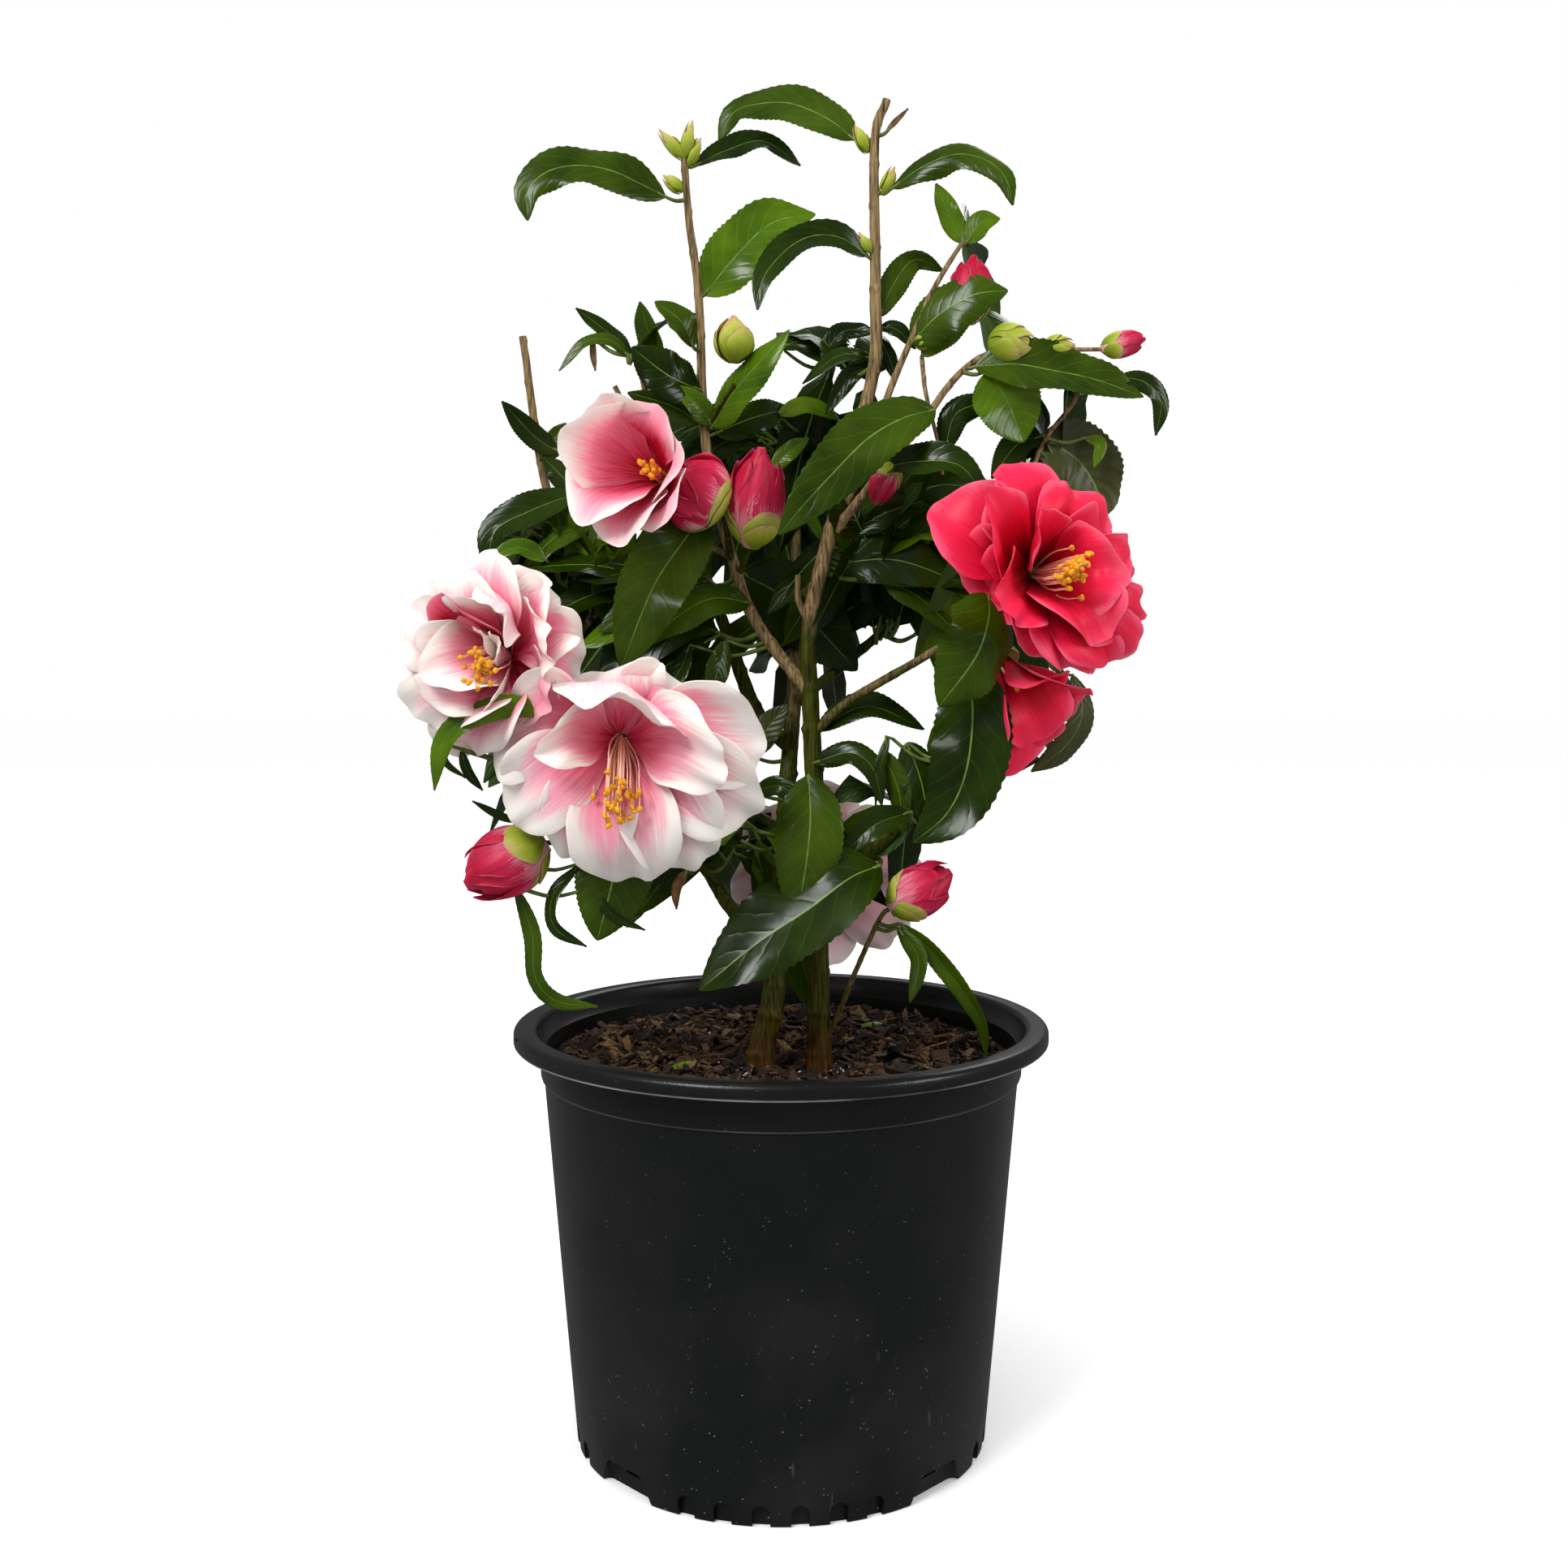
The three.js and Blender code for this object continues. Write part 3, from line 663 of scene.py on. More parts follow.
# Loose on the bed lie chips of bark, flat splinters 3 to 20 mm long, and grains of perlite.
chip_shades = ["321d0d", "4e321a", "6a4826", "8e6a3c", "1c0f06"]
chip_finishes = [
    finish(f"bark_chip_{shade}", mottled("120a04", shade, 900.0, 0.9, 3.0, 0.3, 2.0, (0.6, 0.0008)))
    for shade in chip_shades
]
chip_count = 3000
grain_count = 150
half_mm = 0.0005
dice = random.Random(7)
box_corners = np.array([(x, y, z) for z in (-1, 1) for y in (-1, 1) for x in (-1, 1)], float)
box_faces = np.array(
    [(0, 2, 3, 1), (4, 5, 7, 6), (0, 1, 5, 4), (2, 6, 7, 3), (0, 4, 6, 2), (1, 3, 7, 5)]
)


def turned(places, spin, tilt, roll):
    """Places turned about X, then Y, then Z."""
    for angle, (a, b) in ((roll, (1, 2)), (tilt, (2, 0)), (spin, (0, 1))):
        first = places[:, a] * math.cos(angle) - places[:, b] * math.sin(angle)
        second = places[:, a] * math.sin(angle) + places[:, b] * math.cos(angle)
        places = places.copy()
        places[:, a] = first
        places[:, b] = second
    return places


chips = Growth()
for _ in range(chip_count):
    length = min(3.0 + dice.expovariate(0.24), 20.0)
    radius = (soil_radius - 0.003 - length * 0.0004) * math.sqrt(dice.random())
    turn = dice.random() * 2 * math.pi
    x, y = radius * math.cos(turn), radius * math.sin(turn)
    size = np.array((length, dice.uniform(0.2, 0.5) * length, dice.uniform(0.5, 1.8)))
    skew = np.array([[dice.uniform(0.45, 1.0) for _ in range(3)] for _ in range(8)])
    places = box_corners * skew * size * half_mm
    places = turned(places, dice.uniform(0, 6.3), dice.gauss(0, 0.34), dice.gauss(0, 0.6))
    places += (x, y, soil_height(x, y) + dice.uniform(0.0002, 0.0040))
    chips.add(places, box_faces, dice.randrange(len(chip_shades)), box_corners[:, :2])
chips.piece("bark_chips", chip_finishes, "soil")

perlite = Growth()
for _ in range(grain_count):
    near_stem = dice.random() < 0.7
    spread_out = 0.02 if near_stem else 0.06
    x = min(max(dice.gauss(0.005, spread_out), -0.09), 0.09)
    y = min(max(dice.gauss(-0.022, spread_out * 0.7), -0.055), 0.055)
    grain_radius = dice.uniform(0.0003, 0.0009)
    path = np.array([(0, 0, z) for z in (-0.9, -0.45, 0.0, 0.45, 0.9)]) * grain_radius
    add_tube(perlite, path, grain_radius * np.array((0.45, 0.85, 1.0, 0.8, 0.4)), 6)
    places = turned(perlite.places[-1], dice.uniform(0, 6), dice.uniform(0, 6), 0)
    jolt = np.array([[dice.uniform(0.8, 1.2) for _ in range(3)] for _ in range(len(places))])
    perlite.places[-1] = places * jolt + (x, y, soil_height(x, y) + 0.0018)
perlite_white = finish("perlite_white", mottled("aaa396", "e6e1d6", 900.0, 0.9))
perlite.piece("perlite_grains", [perlite_white], "perlite")


# The stems and boughs: woody canes of two ages. The main stems are smooth and olive green with
# a reddish foot, and the boughs and upper stem have pale, fissured, tan bark with leaf scars.
ring_spacing = 0.0013
flare_length = 0.012


class Limb:
    """A cane that tapers from foot to tip, in mm. Its age is given for its lower and its upper
    half, from 0 for olive bark to 1 for tan."""

    def __init__(self, node, foot, tip, points, age=(0.0, 0.0), flare=0.0):
        self.node = node
        self.age = age
        places = np.array([at(*point) for point in points])
        length = np.linalg.norm(np.diff(places, axis=0), axis=1).sum()
        self.path = smooth_path(places, max(6, int(length / ring_spacing)))
        along = np.linspace(0, 1, len(self.path))
        swelling = flare * np.exp(-along * length / flare_length)
        self.radii = (foot + (tip - foot) * along + swelling) * 0.001


stem_foot = 177.3
stem_depth = -17


def on_soil(x, rise=0.0):
    """A place at the stems' depth, straight above where the stem leaves the soil."""
    reach = 1 / (1 + stem_depth * 0.001 / eye_distance)
    level = eye_height * 1000
    return (x * reach, level + (stem_foot + rise - level) * reach, stem_depth)


olive = (0.0, 0.0)
tan = (1.0, 1.0)
limbs = [
    Limb("stem_right", 5.4, 2.0, [
        on_soil(17.6), on_soil(17.6, 26), (17, 285, -15), (14, 350, -14), (13.5, 388, -12),
        (27, 445, -8), (43, 505, -4), (44, 545, -2), (43.5, 610, -2), (49, 630, -2),
    ], (0.0, 1.0), 1.6),
    Limb("stem_left", 5.9, 1.7, [
        on_soil(-9), on_soil(-8.6, 14), (-3, 217, -14), (3, 312, 2), (6, 355, 14),
        (8, 400, 22), (8, 450, 28), (24, 508, 28),
    ], (0.0, 0.5), 1.8),
    Limb("bough_tall_left", 3.1, 1.6, [
        (13, 356, -14), (-10, 386, -10), (-21, 412, -6), (-35, 470, 0), (-38.5, 540, 0),
        (-43, 576, 0), (-45, 603, 0),
    ], tan),
    Limb("bough_low_left", 3.4, 1.7, [
        (-4, 214, -14), (-20, 246, -8), (-36, 273, 0), (-84, 375, 12), (-110, 450, 8),
        (-121, 522, 2),
    ], (0.3, 1.0)),
    Limb("bough_back_left", 3.9, 1.2, [
        (4, 330, 6), (-12, 347, 14), (-28, 390, 20), (-56, 465, 8), (-66, 507, -7),
        (-70, 513, -8),
    ], (0.2, 0.8)),
    Limb("branch_right", 2.3, 1.3, [
        (15, 336, -15), (33, 352, -18), (72, 375, -27), (88, 388, -31), (106, 410, -36),
        (117, 413, -42),
    ], (0.4, 0.6)),
    Limb("branch_upper_right", 2.2, 1.0, [
        (29, 441, -9), (39, 462, -11), (51, 497, -9), (62, 523, -12), (72, 545, -14),
        (85, 566, -12),
    ], tan),
    Limb("branch_far_right", 2.3, 0.9, [
        (25, 430, -9), (35, 444, -15), (66, 482, -24), (81, 502, -25), (95, 513, -25),
        (112, 517, -26), (135, 516, -26), (151, 516, -24),
    ], tan),
    Limb("shoot_low_right", 1.4, 1.1, [
        (20, 187, -18), (27, 200, -22), (34, 218, -28), (47, 247, -40), (53, 253, -43),
    ], (0.5, 0.5)),
    Limb("bough_low_right", 2.6, 1.0, [
        (17, 252, -16), (38, 276, -19), (60, 297, -22), (72, 312, -26), (84, 340, -38),
        (88, 366, -46),
    ], olive),
    Limb("branch_big_bloom", 2.0, 1.4, [
        (-30, 264, -3), (-52, 286, -22), (-74, 306, -52), (-76, 320, -60),
    ], olive),
    Limb("branch_left", 1.9, 1.2, [
        (-70, 344, 10), (-98, 362, -8), (-125, 376, -46), (-127, 374, -56),
    ], olive),
    Limb("branch_cup", 1.7, 1.2, [
        (-25, 420, -5), (-42, 430, -18), (-56, 448, -30), (-60, 456, -36),
    ], (0.6, 0.2)),
    Limb("bough_back_right", 2.8, 1.2, [
        (6, 350, 12), (26, 366, 24), (50, 386, 33), (80, 412, 56), (98, 436, 74),
    ], olive),
    Limb("bough_back_low", 2.6, 1.1, [
        (1, 290, -1), (-22, 304, 34), (-46, 322, 56), (-72, 356, 66), (-88, 384, 78),
    ], olive),
    Limb("branch_back_bloom", 1.9, 1.4, [(-1, 248, -9), (8, 256, 8), (20, 264, 28)], olive),
    Limb(None, 1.1, 0.8, [(66, 511, -12), (68, 495, -18), (74, 472, -21), (76, 458, -18)], tan),
    Limb(None, 1.5, 0.9, [
        (104, 408, -34), (112, 440, -22), (123, 472, -16), (137, 491, -26), (140, 500, -28),
    ], (0.4, 1.0)),
    Limb(None, 1.4, 1.2, [(-58, 468, 6), (-72, 488, 0), (-78, 499, -2)], tan),
    Limb(None, 1.5, 1.3, [(12, 390, -13), (8, 400, -14), (8, 411, -15)], tan),
    Limb(None, 1.3, 1.0, [(40, 277, -19), (47, 276, -34), (47, 272, -45)], olive),
    Limb(None, 1.2, 1.0, [(16, 300, -18), (14, 312, -32), (13, 316, -42)], olive),
    Limb(None, 1.5, 1.1, [
        (-72, 304, -48), (-84, 292, -56), (-100, 285, -60), (-113, 284, -62),
    ], olive),
    Limb(None, 1.1, 0.9, [(-112, 284, -61), (-120, 276, -64), (-127, 263, -64)], olive),
    Limb(None, 1.2, 1.0, [(-74, 308, -52), (-96, 328, -64), (-110, 346, -80)], olive),
    Limb(None, 1.4, 1.2, [(-23, 416, -5), (-25, 428, -14), (-27, 438, -22)], olive),
    Limb(None, 1.4, 1.2, [(-20, 411, -6), (-17, 418, -14), (-14, 425, -20)], olive),
    Limb(None, 1.6, 1.3, [(92, 392, -32), (97, 384, -34), (104, 371, -32)], olive),
    Limb(None, 1.5, 1.1, [(8, 430, 26), (-2, 446, 40), (-14, 462, 58)], olive),
    Limb(None, 1.2, 0.9, [(84, 545, -14), (86, 538, -14), (87, 532, -14)], olive),
    Limb(None, 1.1, 0.8, [(-34, 478, 0), (-30, 488, -10), (-22, 500, -18)], olive),
]
scar_spacing = 0.019
scar_width = 0.0012
scar_turn = 2.4


def bark_relief(places, reach, angle):
    """Long fissures, fine grain and swollen leaf scars along a limb."""
    rows, sides = reach.shape
    relief = np.empty((rows, sides))
    steps = np.linalg.norm(np.diff(places[:, 0], axis=0), axis=1)
    travel = np.concatenate([[0], np.cumsum(steps)])
    for row in range(rows):
        beat = (travel[row] / scar_spacing) % 1
        scar = math.exp(-(((beat - 0.5) * scar_spacing / scar_width) ** 2))
        side = math.floor(travel[row] / scar_spacing) * scar_turn
        for column in range(sides):
            x, y, z = places[row, column]
            fissure = noise.noise(Vector((x * 900, y * 900, z * 90)))
            grain = noise.noise(Vector((x * 300, y * 300, z * 260)))
            facing = 0.5 + 0.5 * math.cos(angle[column] - side)
            relief[row, column] = 1 + 0.06 * fissure + 0.05 * grain + scar * 0.22 * facing
    return reach * relief


def bark(paint):
    """Olive or tan by the limb's own age, darker and redder at the foot."""
    place = paint.place()
    age = paint.node("Attribute", attribute_name="tint", output="Fac")
    fibre = place.stretched(900.0, 70.0).cloud(1.0, 4.0)
    blotch = place.cloud(120.0, 3.0)
    shade = ((fibre - 0.3) * 2.2).limited()
    young = shade.tinted(ink("191b02"), ink("50560a"))
    old = shade.tinted(ink("3a2a1a"), ink("a78d62"))
    grown = ((age - 0.5) * 3.0 + 0.5 + (blotch - 0.5) * 1.5).limited()
    foot = ((0.222 - place.axis("Z")) * 26.0 + (blotch - 0.5) * 1.6).limited() * 0.85
    foot_brown = shade.tinted(ink("2a1405"), ink("5c3210"))
    return {
        "Base Color": foot.tinted(grown.tinted(young, old), foot_brown),
        "Roughness": (0.5 + grown * 0.3).limited(),
        "Specular IOR Level": 0.15,
        "Normal": fibre.relief(0.45, 0.0006),
    }


bark_finish = finish("bark", bark)
tan_from = 1.3
limb_sides = 14
for piece_name, slot, aged in (("olive_wood", "bark_green", False), ("tan_wood", "bark_tan", True)):
    wood = Growth()
    members = [limb for limb in limbs if (sum(limb.age) >= tan_from) == aged]
    for limb in members:
        along = np.linspace(0, 1, len(limb.path))
        tint = np.interp(along, (0.0, 0.42, 0.5, 1.0), np.repeat(limb.age, 2))
        add_tube(wood, limb.path, limb.radii, limb_sides, 0, tint, bark_relief)
    stood_for = [limb.node for limb in members if limb.node]
    wood.piece(piece_name, [bark_finish], slot, stood_for)

wood_places = np.vstack([limb.path for limb in limbs])


def nearest_wood(place):
    """The place on the limbs nearest to a leaf's foot, sooner below it than above."""
    away = wood_places - place
    distance = np.linalg.norm(away, axis=1) + np.maximum(away[:, 2], 0) * 1.5
    return wood_places[int(np.argmin(distance))]


# The leaves: thick, glossy, dark green blades with a fine-toothed edge, folded a little along a
# pale midrib. Each grows on a short stalk. The youngest are a lighter yellow-green, a tone that
# also serves as painted light, for leaves that glow with light shining through them from behind.
leaf_thickness = 0.0004
toothed_rows = 46
plain_rows = 9


def leaf_outline(along):
    """Half the width of a leaf at a share of its length, as a part of its widest."""
    return (along + 0.004) ** 0.6 * (1.004 - along) ** 0.82 / 0.4795


def leaf_grid(path, width, facing, rows, columns, fold, curl, wave, turn, twist):
    """The middle surface of a leaf, over a spine that runs from its foot to its tip."""
    spine = smooth_path(path, rows)
    tangent = unit(np.gradient(spine, axis=0))
    level = unit(np.cross(unit(np.asarray(facing, float)), tangent))
    for i in range(1, rows):
        if np.dot(level[i], level[i - 1]) < 0:
            level[i] = -level[i]
    along = np.linspace(0, 1, rows)
    lean = (twist * (along - 0.35))[:, None]
    upward = np.cross(tangent, level)
    side = level * np.cos(lean) + upward * np.sin(lean)
    face = np.cross(tangent, side)
    teeth = np.where(np.arange(rows) % 2, 0.975, 1.025) if rows == toothed_rows else 1.0
    half = np.maximum(width / 2 * leaf_outline(along) * teeth, 0.0005)[:, None]
    s = columns[None, :]
    lift = np.abs(s) * half * math.sin(fold) - s**2 * half * curl
    lift = lift + np.sin(along * 11 + turn)[:, None] * wave * half * s**2 * np.sign(s + 1e-9)
    lift = lift + np.cos(along * 17 + turn)[:, None] * wave * 0.6 * half * s**2
    return (
        spine[:, None]
        + side[:, None] * (s * half * math.cos(fold))[..., None]
        + face[:, None] * lift[..., None]
    )


def on_blade(paint):
    """Where a place lies on its blade: across it, and along it from its foot to its tip."""
    spread = paint.node("UVMap", uv_map="blade")
    return spread.axis("X"), spread.axis("Y")


def side_veins(paint):
    """How near a place is to a side vein: 1 on a vein and 0 midway between two. The veins leave
    the midrib in pairs, lean towards the tip and waver a little."""
    across, along = on_blade(paint)
    waver = paint.place().cloud(70.0, 1.0)
    lean = abs(across * 2.0 - 1.0)
    beat = paint.arithmetic("FRACT", along * 8.0 - lean * 2.0 + waver * 0.7 + 4.0)
    return abs(beat * 2.0 - 1.0)


def leaf_upper(low, high, vein):
    def recipe(paint):
        mottle = paint.place().cloud(34.0, 4.0)
        veins = side_veins(paint)
        line = ((veins - 0.90) * 10.0).limited()
        blade = ((mottle - 0.3) * 2.4).limited().tinted(ink(low), ink(high))
        pucker = paint.place().cloud(130.0, 2.0)
        return {
            "Base Color": (line * 0.22).tinted(blade, ink(vein)),
            "Roughness": (0.12 + mottle * 0.2).limited(),
            "Normal": (0.8 - veins**4.0 * 0.3 + pucker * 0.5).relief(0.25, 0.0009),
            "Specular IOR Level": 0.28,
        }

    return recipe


def leaf_under(low, high):
    def recipe(paint):
        mottle = paint.place().cloud(60.0, 3.0)
        veins = side_veins(paint)
        line = ((veins - 0.88) * 8.0).limited()
        return {
            "Base Color": (mottle * 0.7 + line * 0.35).limited().tinted(ink(low), ink(high)),
            "Roughness": 0.45,
            "Normal": veins.relief(0.5, 0.0006),
        }

    return recipe


# The fresh tone is the young leaves' own paler green and also painted light: it brightens leaves as
# though lit through from behind.
leaf_finishes = [
    finish("leaf_deep", leaf_upper("0d1a00", "233602", "42600f")),
    finish("leaf_mid", leaf_upper("1a2a01", "3a5002", "5c7a1a")),
    finish("leaf_fresh_and_backlit", leaf_upper("2c4804", "5a7a08", "869c2a")),
    finish("leaf_under_deep", leaf_under("24400f", "40601f")),
    finish("leaf_under_olive", leaf_under("2b3009", "4d5216")),
    finish("leaf_under_fresh", leaf_under("44671f", "6f8c3a")),
    finish("leaf_rib", mottled("40601c", "6a8b34", 200.0, 0.38)),
    finish("leaf_dry", mottled("3f2810", "7a5428", 220.0, 0.8)),
]
DEEP, MID, FRESH_AND_BACKLIT, UNDER_DEEP, OLIVE, UNDER_FRESH, RIB, DRY = range(8)
UNDERSIDE = {DEEP: UNDER_DEEP, MID: UNDER_DEEP, FRESH_AND_BACKLIT: UNDER_FRESH, DRY: DRY, OLIVE: DEEP}
fine_columns = np.array((-1, -0.88, -0.6, -0.3, -0.026, 0.026, 0.3, 0.6, 0.88, 1))
plain_columns = np.array((-1, -0.5, -0.035, 0.035, 0.5, 1))

FRONT = (0, -1, 0.2)
HIGH = (0, -0.9, 0.43)
LEFTWARD = (-0.55, -0.8, 0.25)
RIGHTWARD = (0.55, -0.8, 0.25)

# Each leaf is its tone, its width, the way its upper side faces, and places on its midrib. An
# olive one shows its underside, as its upper side faces away.
placed_leaves = [
    # top
    (MID, 31, HIGH, [(-54, 586, -4), (-66, 592, -8), (-80, 598, -13), (-95, 600, -18),
                     (-109, 597, -22), (-118, 588, -24), (-118, 575, -25)]),
    (DEEP, 17, HIGH, [(-40, 600, 3), (-25, 607, 10), (-8, 611, 20), (9, 600, 29)]),
    (MID, 30, HIGH, [(34, 612, 4), (22, 621, 10), (5, 628, 18), (-10, 628, 25), (-22, 624, 30),
                     (-29, 611, 33)]),
    (MID, 20, HIGH, [(52, 590, -6), (65, 599, -12), (80, 605, -18), (94, 603, -23),
                     (104, 595, -27), (108, 582, -29)]),
    # high
    (FRESH_AND_BACKLIT, 37, FRONT, [(-36, 541, 0), (-20, 560, 3), (-4, 574, 8), (16, 578, 13)]),
    (DEEP, 21, HIGH, [(40, 559, -4), (28, 567, -10), (15, 568, -16), (3, 562, -23),
                      (-8, 549, -30), (-11, 534, -33)]),
    (MID, 17, FRONT, [(46, 531, -1), (52, 545, 3), (62, 557, 8), (76, 552, 14)]),
    (FRESH_AND_BACKLIT, 14, LEFTWARD, [(85, 565, -12), (80, 574, -12), (72, 592, -12)]),
    (FRESH_AND_BACKLIT, 14, RIGHTWARD, [(86, 565, -12), (93, 574, -11), (102, 576, -10)]),
    (MID, 34, HIGH, [(61, 519, -12), (74, 532, -19), (90, 541, -24), (106, 543, -24)]),
    (FRESH_AND_BACKLIT, 17, FRONT, [(66, 513, -10), (75, 522, -12), (86, 534, -12), (92, 543, -12)]),
    # far right
    (MID, 34, HIGH, [(91, 508, -27), (110, 509, -31), (128, 506, -33), (147, 502, -33),
                     (170, 494, -30)]),
    (DEEP, 12, FRONT, [(158, 503, -30), (170, 501, -29), (178, 492, -27), (176, 476, -26)]),
    (FRESH_AND_BACKLIT, 40, FRONT, [(97, 506, -29), (106, 492, -30), (114, 473, -26)]),
    (DEEP, 18, FRONT, [(123, 476, -16), (111, 472, -13), (99, 456, -14)]),
    (OLIVE, 44, FRONT, [(122, 476, -14), (140, 464, -10), (150, 448, -8), (152, 438, -8)]),
    (FRESH_AND_BACKLIT, 8, FRONT, [(143, 475, -14), (150, 472, -16), (147, 461, -17)]),
    (DEEP, 17, FRONT, [(77, 470, -22), (83, 487, -23), (103, 492, -21)]),
    # upper left
    (DEEP, 11, HIGH, [(-70, 512, -7), (-79, 522, -7), (-96, 535, -9)]),
    (MID, 8, HIGH, [(-70, 512, -9), (-80, 520, -10), (-92, 519, -12), (-104, 506, -13)]),
    (DRY, 4, FRONT, [(-88, 521, -10), (-88, 514, -10), (-87, 506, -10)]),
    (MID, 16, LEFTWARD, [(-56, 510, -6), (-62, 524, -6), (-66, 538, -8)]),
    (MID, 18, RIGHTWARD, [(-41, 517, -4), (-47, 529, -8), (-59, 538, -10)]),
    (DEEP, 30, FRONT, [(-38, 497, -3), (-53, 504, -14), (-70, 517, -17)]),
    (MID, 18, HIGH, [(-38, 482, -4), (-52, 490, -8), (-72, 496, -10)]),
    (DEEP, 15, LEFTWARD, [(-104, 468, 0), (-116, 476, -4), (-131, 492, -8)]),
    (MID, 12, FRONT, [(-113, 466, 3), (-107, 474, 2), (-101, 482, 1)]),
    # centre
    (FRESH_AND_BACKLIT, 27, LEFTWARD, [(-32, 480, -5), (-23, 495, -16), (-10, 510, -24), (4, 525, -27)]),
    (FRESH_AND_BACKLIT, 14, FRONT, [(-32, 481, -4), (-40, 491, -9), (-50, 499, -12)]),
    (DEEP, 22, FRONT, [(-31, 477, -2), (-14, 484, 3), (5, 489, 8)]),
    (FRESH_AND_BACKLIT, 13, HIGH, [(-1, 486, 4), (13, 490, 7), (28, 483, 8)]),
    (FRESH_AND_BACKLIT, 12, FRONT, [(-4, 460, 0), (3, 468, 0), (13, 475, 2)]),
    (MID, 13, HIGH, [(0, 517, 12), (14, 521, 12), (32, 518, 10)]),
    (DEEP, 15, HIGH, [(19, 512, 8), (29, 524, 9), (44, 524, 5)]),
    (DEEP, 10, FRONT, [(43, 512, 3), (27, 513, -6), (10, 500, -14)]),
    (DEEP, 12, FRONT, [(45, 508, 4), (33, 504, 1), (21, 486, 0)]),
    (DEEP, 11, HIGH, [(46, 526, 3), (54, 525, 1), (63, 516, -1)]),
    (DEEP, 10, FRONT, [(46, 521, 6), (51, 511, 4), (54, 501, 2)]),
    (MID, 36, FRONT, [(72, 488, -27), (57, 484, -36), (40, 474, -42), (22, 456, -45),
                      (10, 443, -46), (-1, 430, -46)]),
    (DEEP, 22, HIGH, [(47, 461, -19), (65, 464, -33), (84, 462, -40), (97, 446, -41)]),
    (DEEP, 21, HIGH, [(33, 431, -6), (52, 441, -10), (79, 449, -13)]),
    (DEEP, 31, FRONT, [(24, 416, -6), (54, 418, -12), (86, 407, -14)]),
    (FRESH_AND_BACKLIT, 8, FRONT, [(9, 447, -6), (14, 438, -8), (20, 426, -8)]),
    (DEEP, 46, FRONT, [(-19, 412, 16), (6, 397, 18), (36, 366, 20)]),
    # beside and below the cup
    (MID, 43, FRONT, [(-37, 438, -20), (-48, 424, -33), (-61, 404, -40), (-76, 367, -43)]),
    (MID, 24, HIGH, [(-15, 398, -12), (-32, 400, -24), (-48, 392, -31), (-66, 376, -35)]),
    (DEEP, 14, LEFTWARD, [(-43, 378, -26), (-50, 363, -29), (-67, 350, -29)]),
    (MID, 15, RIGHTWARD, [(-26, 380, -22), (-30, 366, -26), (-35, 352, -27)]),
    (DEEP, 24, HIGH, [(-97, 449, -2), (-118, 441, -9), (-135, 431, -13), (-138, 411, -15)]),
    (MID, 19, LEFTWARD, [(-91, 434, 0), (-106, 429, -11), (-125, 410, -18)]),
    (DEEP, 15, FRONT, [(-97, 450, 2), (-104, 458, 0), (-112, 466, -2)]),
    (DEEP, 24, LEFTWARD, [(-80, 440, 2), (-91, 416, -4), (-98, 386, -8)]),
    (MID, 22, RIGHTWARD, [(-70, 434, -4), (-82, 410, -9), (-79, 380, -11)]),
    (MID, 18, LEFTWARD, [(-90, 404, 2), (-99, 386, -3), (-93, 365, -5)]),
    (FRESH_AND_BACKLIT, 12, HIGH, [(-111, 418, -18), (-124, 424, -22), (-138, 418, -25)]),
    # round the left and the big bloom
    (FRESH_AND_BACKLIT, 15, HIGH, [(-110, 346, -84), (-130, 349, -89), (-149, 343, -90), (-161, 331, -88),
                       (-165, 309, -83)]),
    (DEEP, 4, FRONT, [(-160, 331, -72), (-159, 322, -70), (-150, 315, -68)]),
    (DEEP, 6, FRONT, [(-152, 328, -68), (-149, 318, -66), (-142, 309, -64)]),
    (DEEP, 5, FRONT, [(-124, 294, -60), (-134, 297, -61), (-147, 304, -61)]),
    (DEEP, 4, FRONT, [(-168, 358, -74), (-171, 352, -74), (-172, 344, -74)]),
    # right, round the red blooms
    (MID, 46, RIGHTWARD, [(98, 402, -62), (98, 390, -70), (92, 372, -72), (75, 349, -70)]),
    (DEEP, 46, FRONT, [(88, 369, -50), (91, 346, -55), (88, 318, -58), (79, 298, -59),
                       (63, 284, -58)]),
    (OLIVE, 19, RIGHTWARD, [(138, 364, -22), (143, 346, -22), (135, 330, -22), (119, 318, -22)]),
    (DEEP, 24, FRONT, [(60, 332, -26), (67, 312, -30), (71, 288, -32)]),
    (MID, 16, LEFTWARD, [(48, 328, -24), (56, 309, -28), (58, 288, -31)]),
    (DEEP, 16, HIGH, [(15, 322, -18), (33, 327, -25), (44, 319, -29), (48, 302, -31)]),
    (DEEP, 18, HIGH, [(17, 338, -12), (41, 349, -13), (68, 338, -10)]),
    (OLIVE, 18, FRONT, [(-14, 326, -2), (-7, 338, -6), (3, 350, -7)]),
    (DEEP, 6, FRONT, [(51, 335, -26), (47, 320, -29), (45, 302, -29)]),
    # low centre
    (MID, 40, FRONT, [(13, 316, -45), (14, 296, -51), (12, 274, -54), (7, 246, -54)]),
    (DEEP, 12, FRONT, [(-13, 308, -30), (0, 311, -37), (13, 299, -41)]),
    (DEEP, 54, LEFTWARD, [(47, 273, -47), (33, 267, -55), (13, 252, -59), (-11, 236, -60),
                         (-39, 213, -59)]),
    (DEEP, 16, FRONT, [(62, 299, -37), (44, 292, -41), (28, 276, -42)]),
    # low right
    (MID, 12, LEFTWARD, [(57, 245, -45), (70, 234, -47), (84, 217, -48), (96, 198, -49),
                         (99, 180, -49)]),
    (MID, 12, LEFTWARD, [(56, 243, -44), (66, 228, -50), (62, 207, -54)]),
    # low left
    (MID, 44, FRONT, [(-76, 294, -52), (-80, 268, -60), (-88, 237, -66)]),
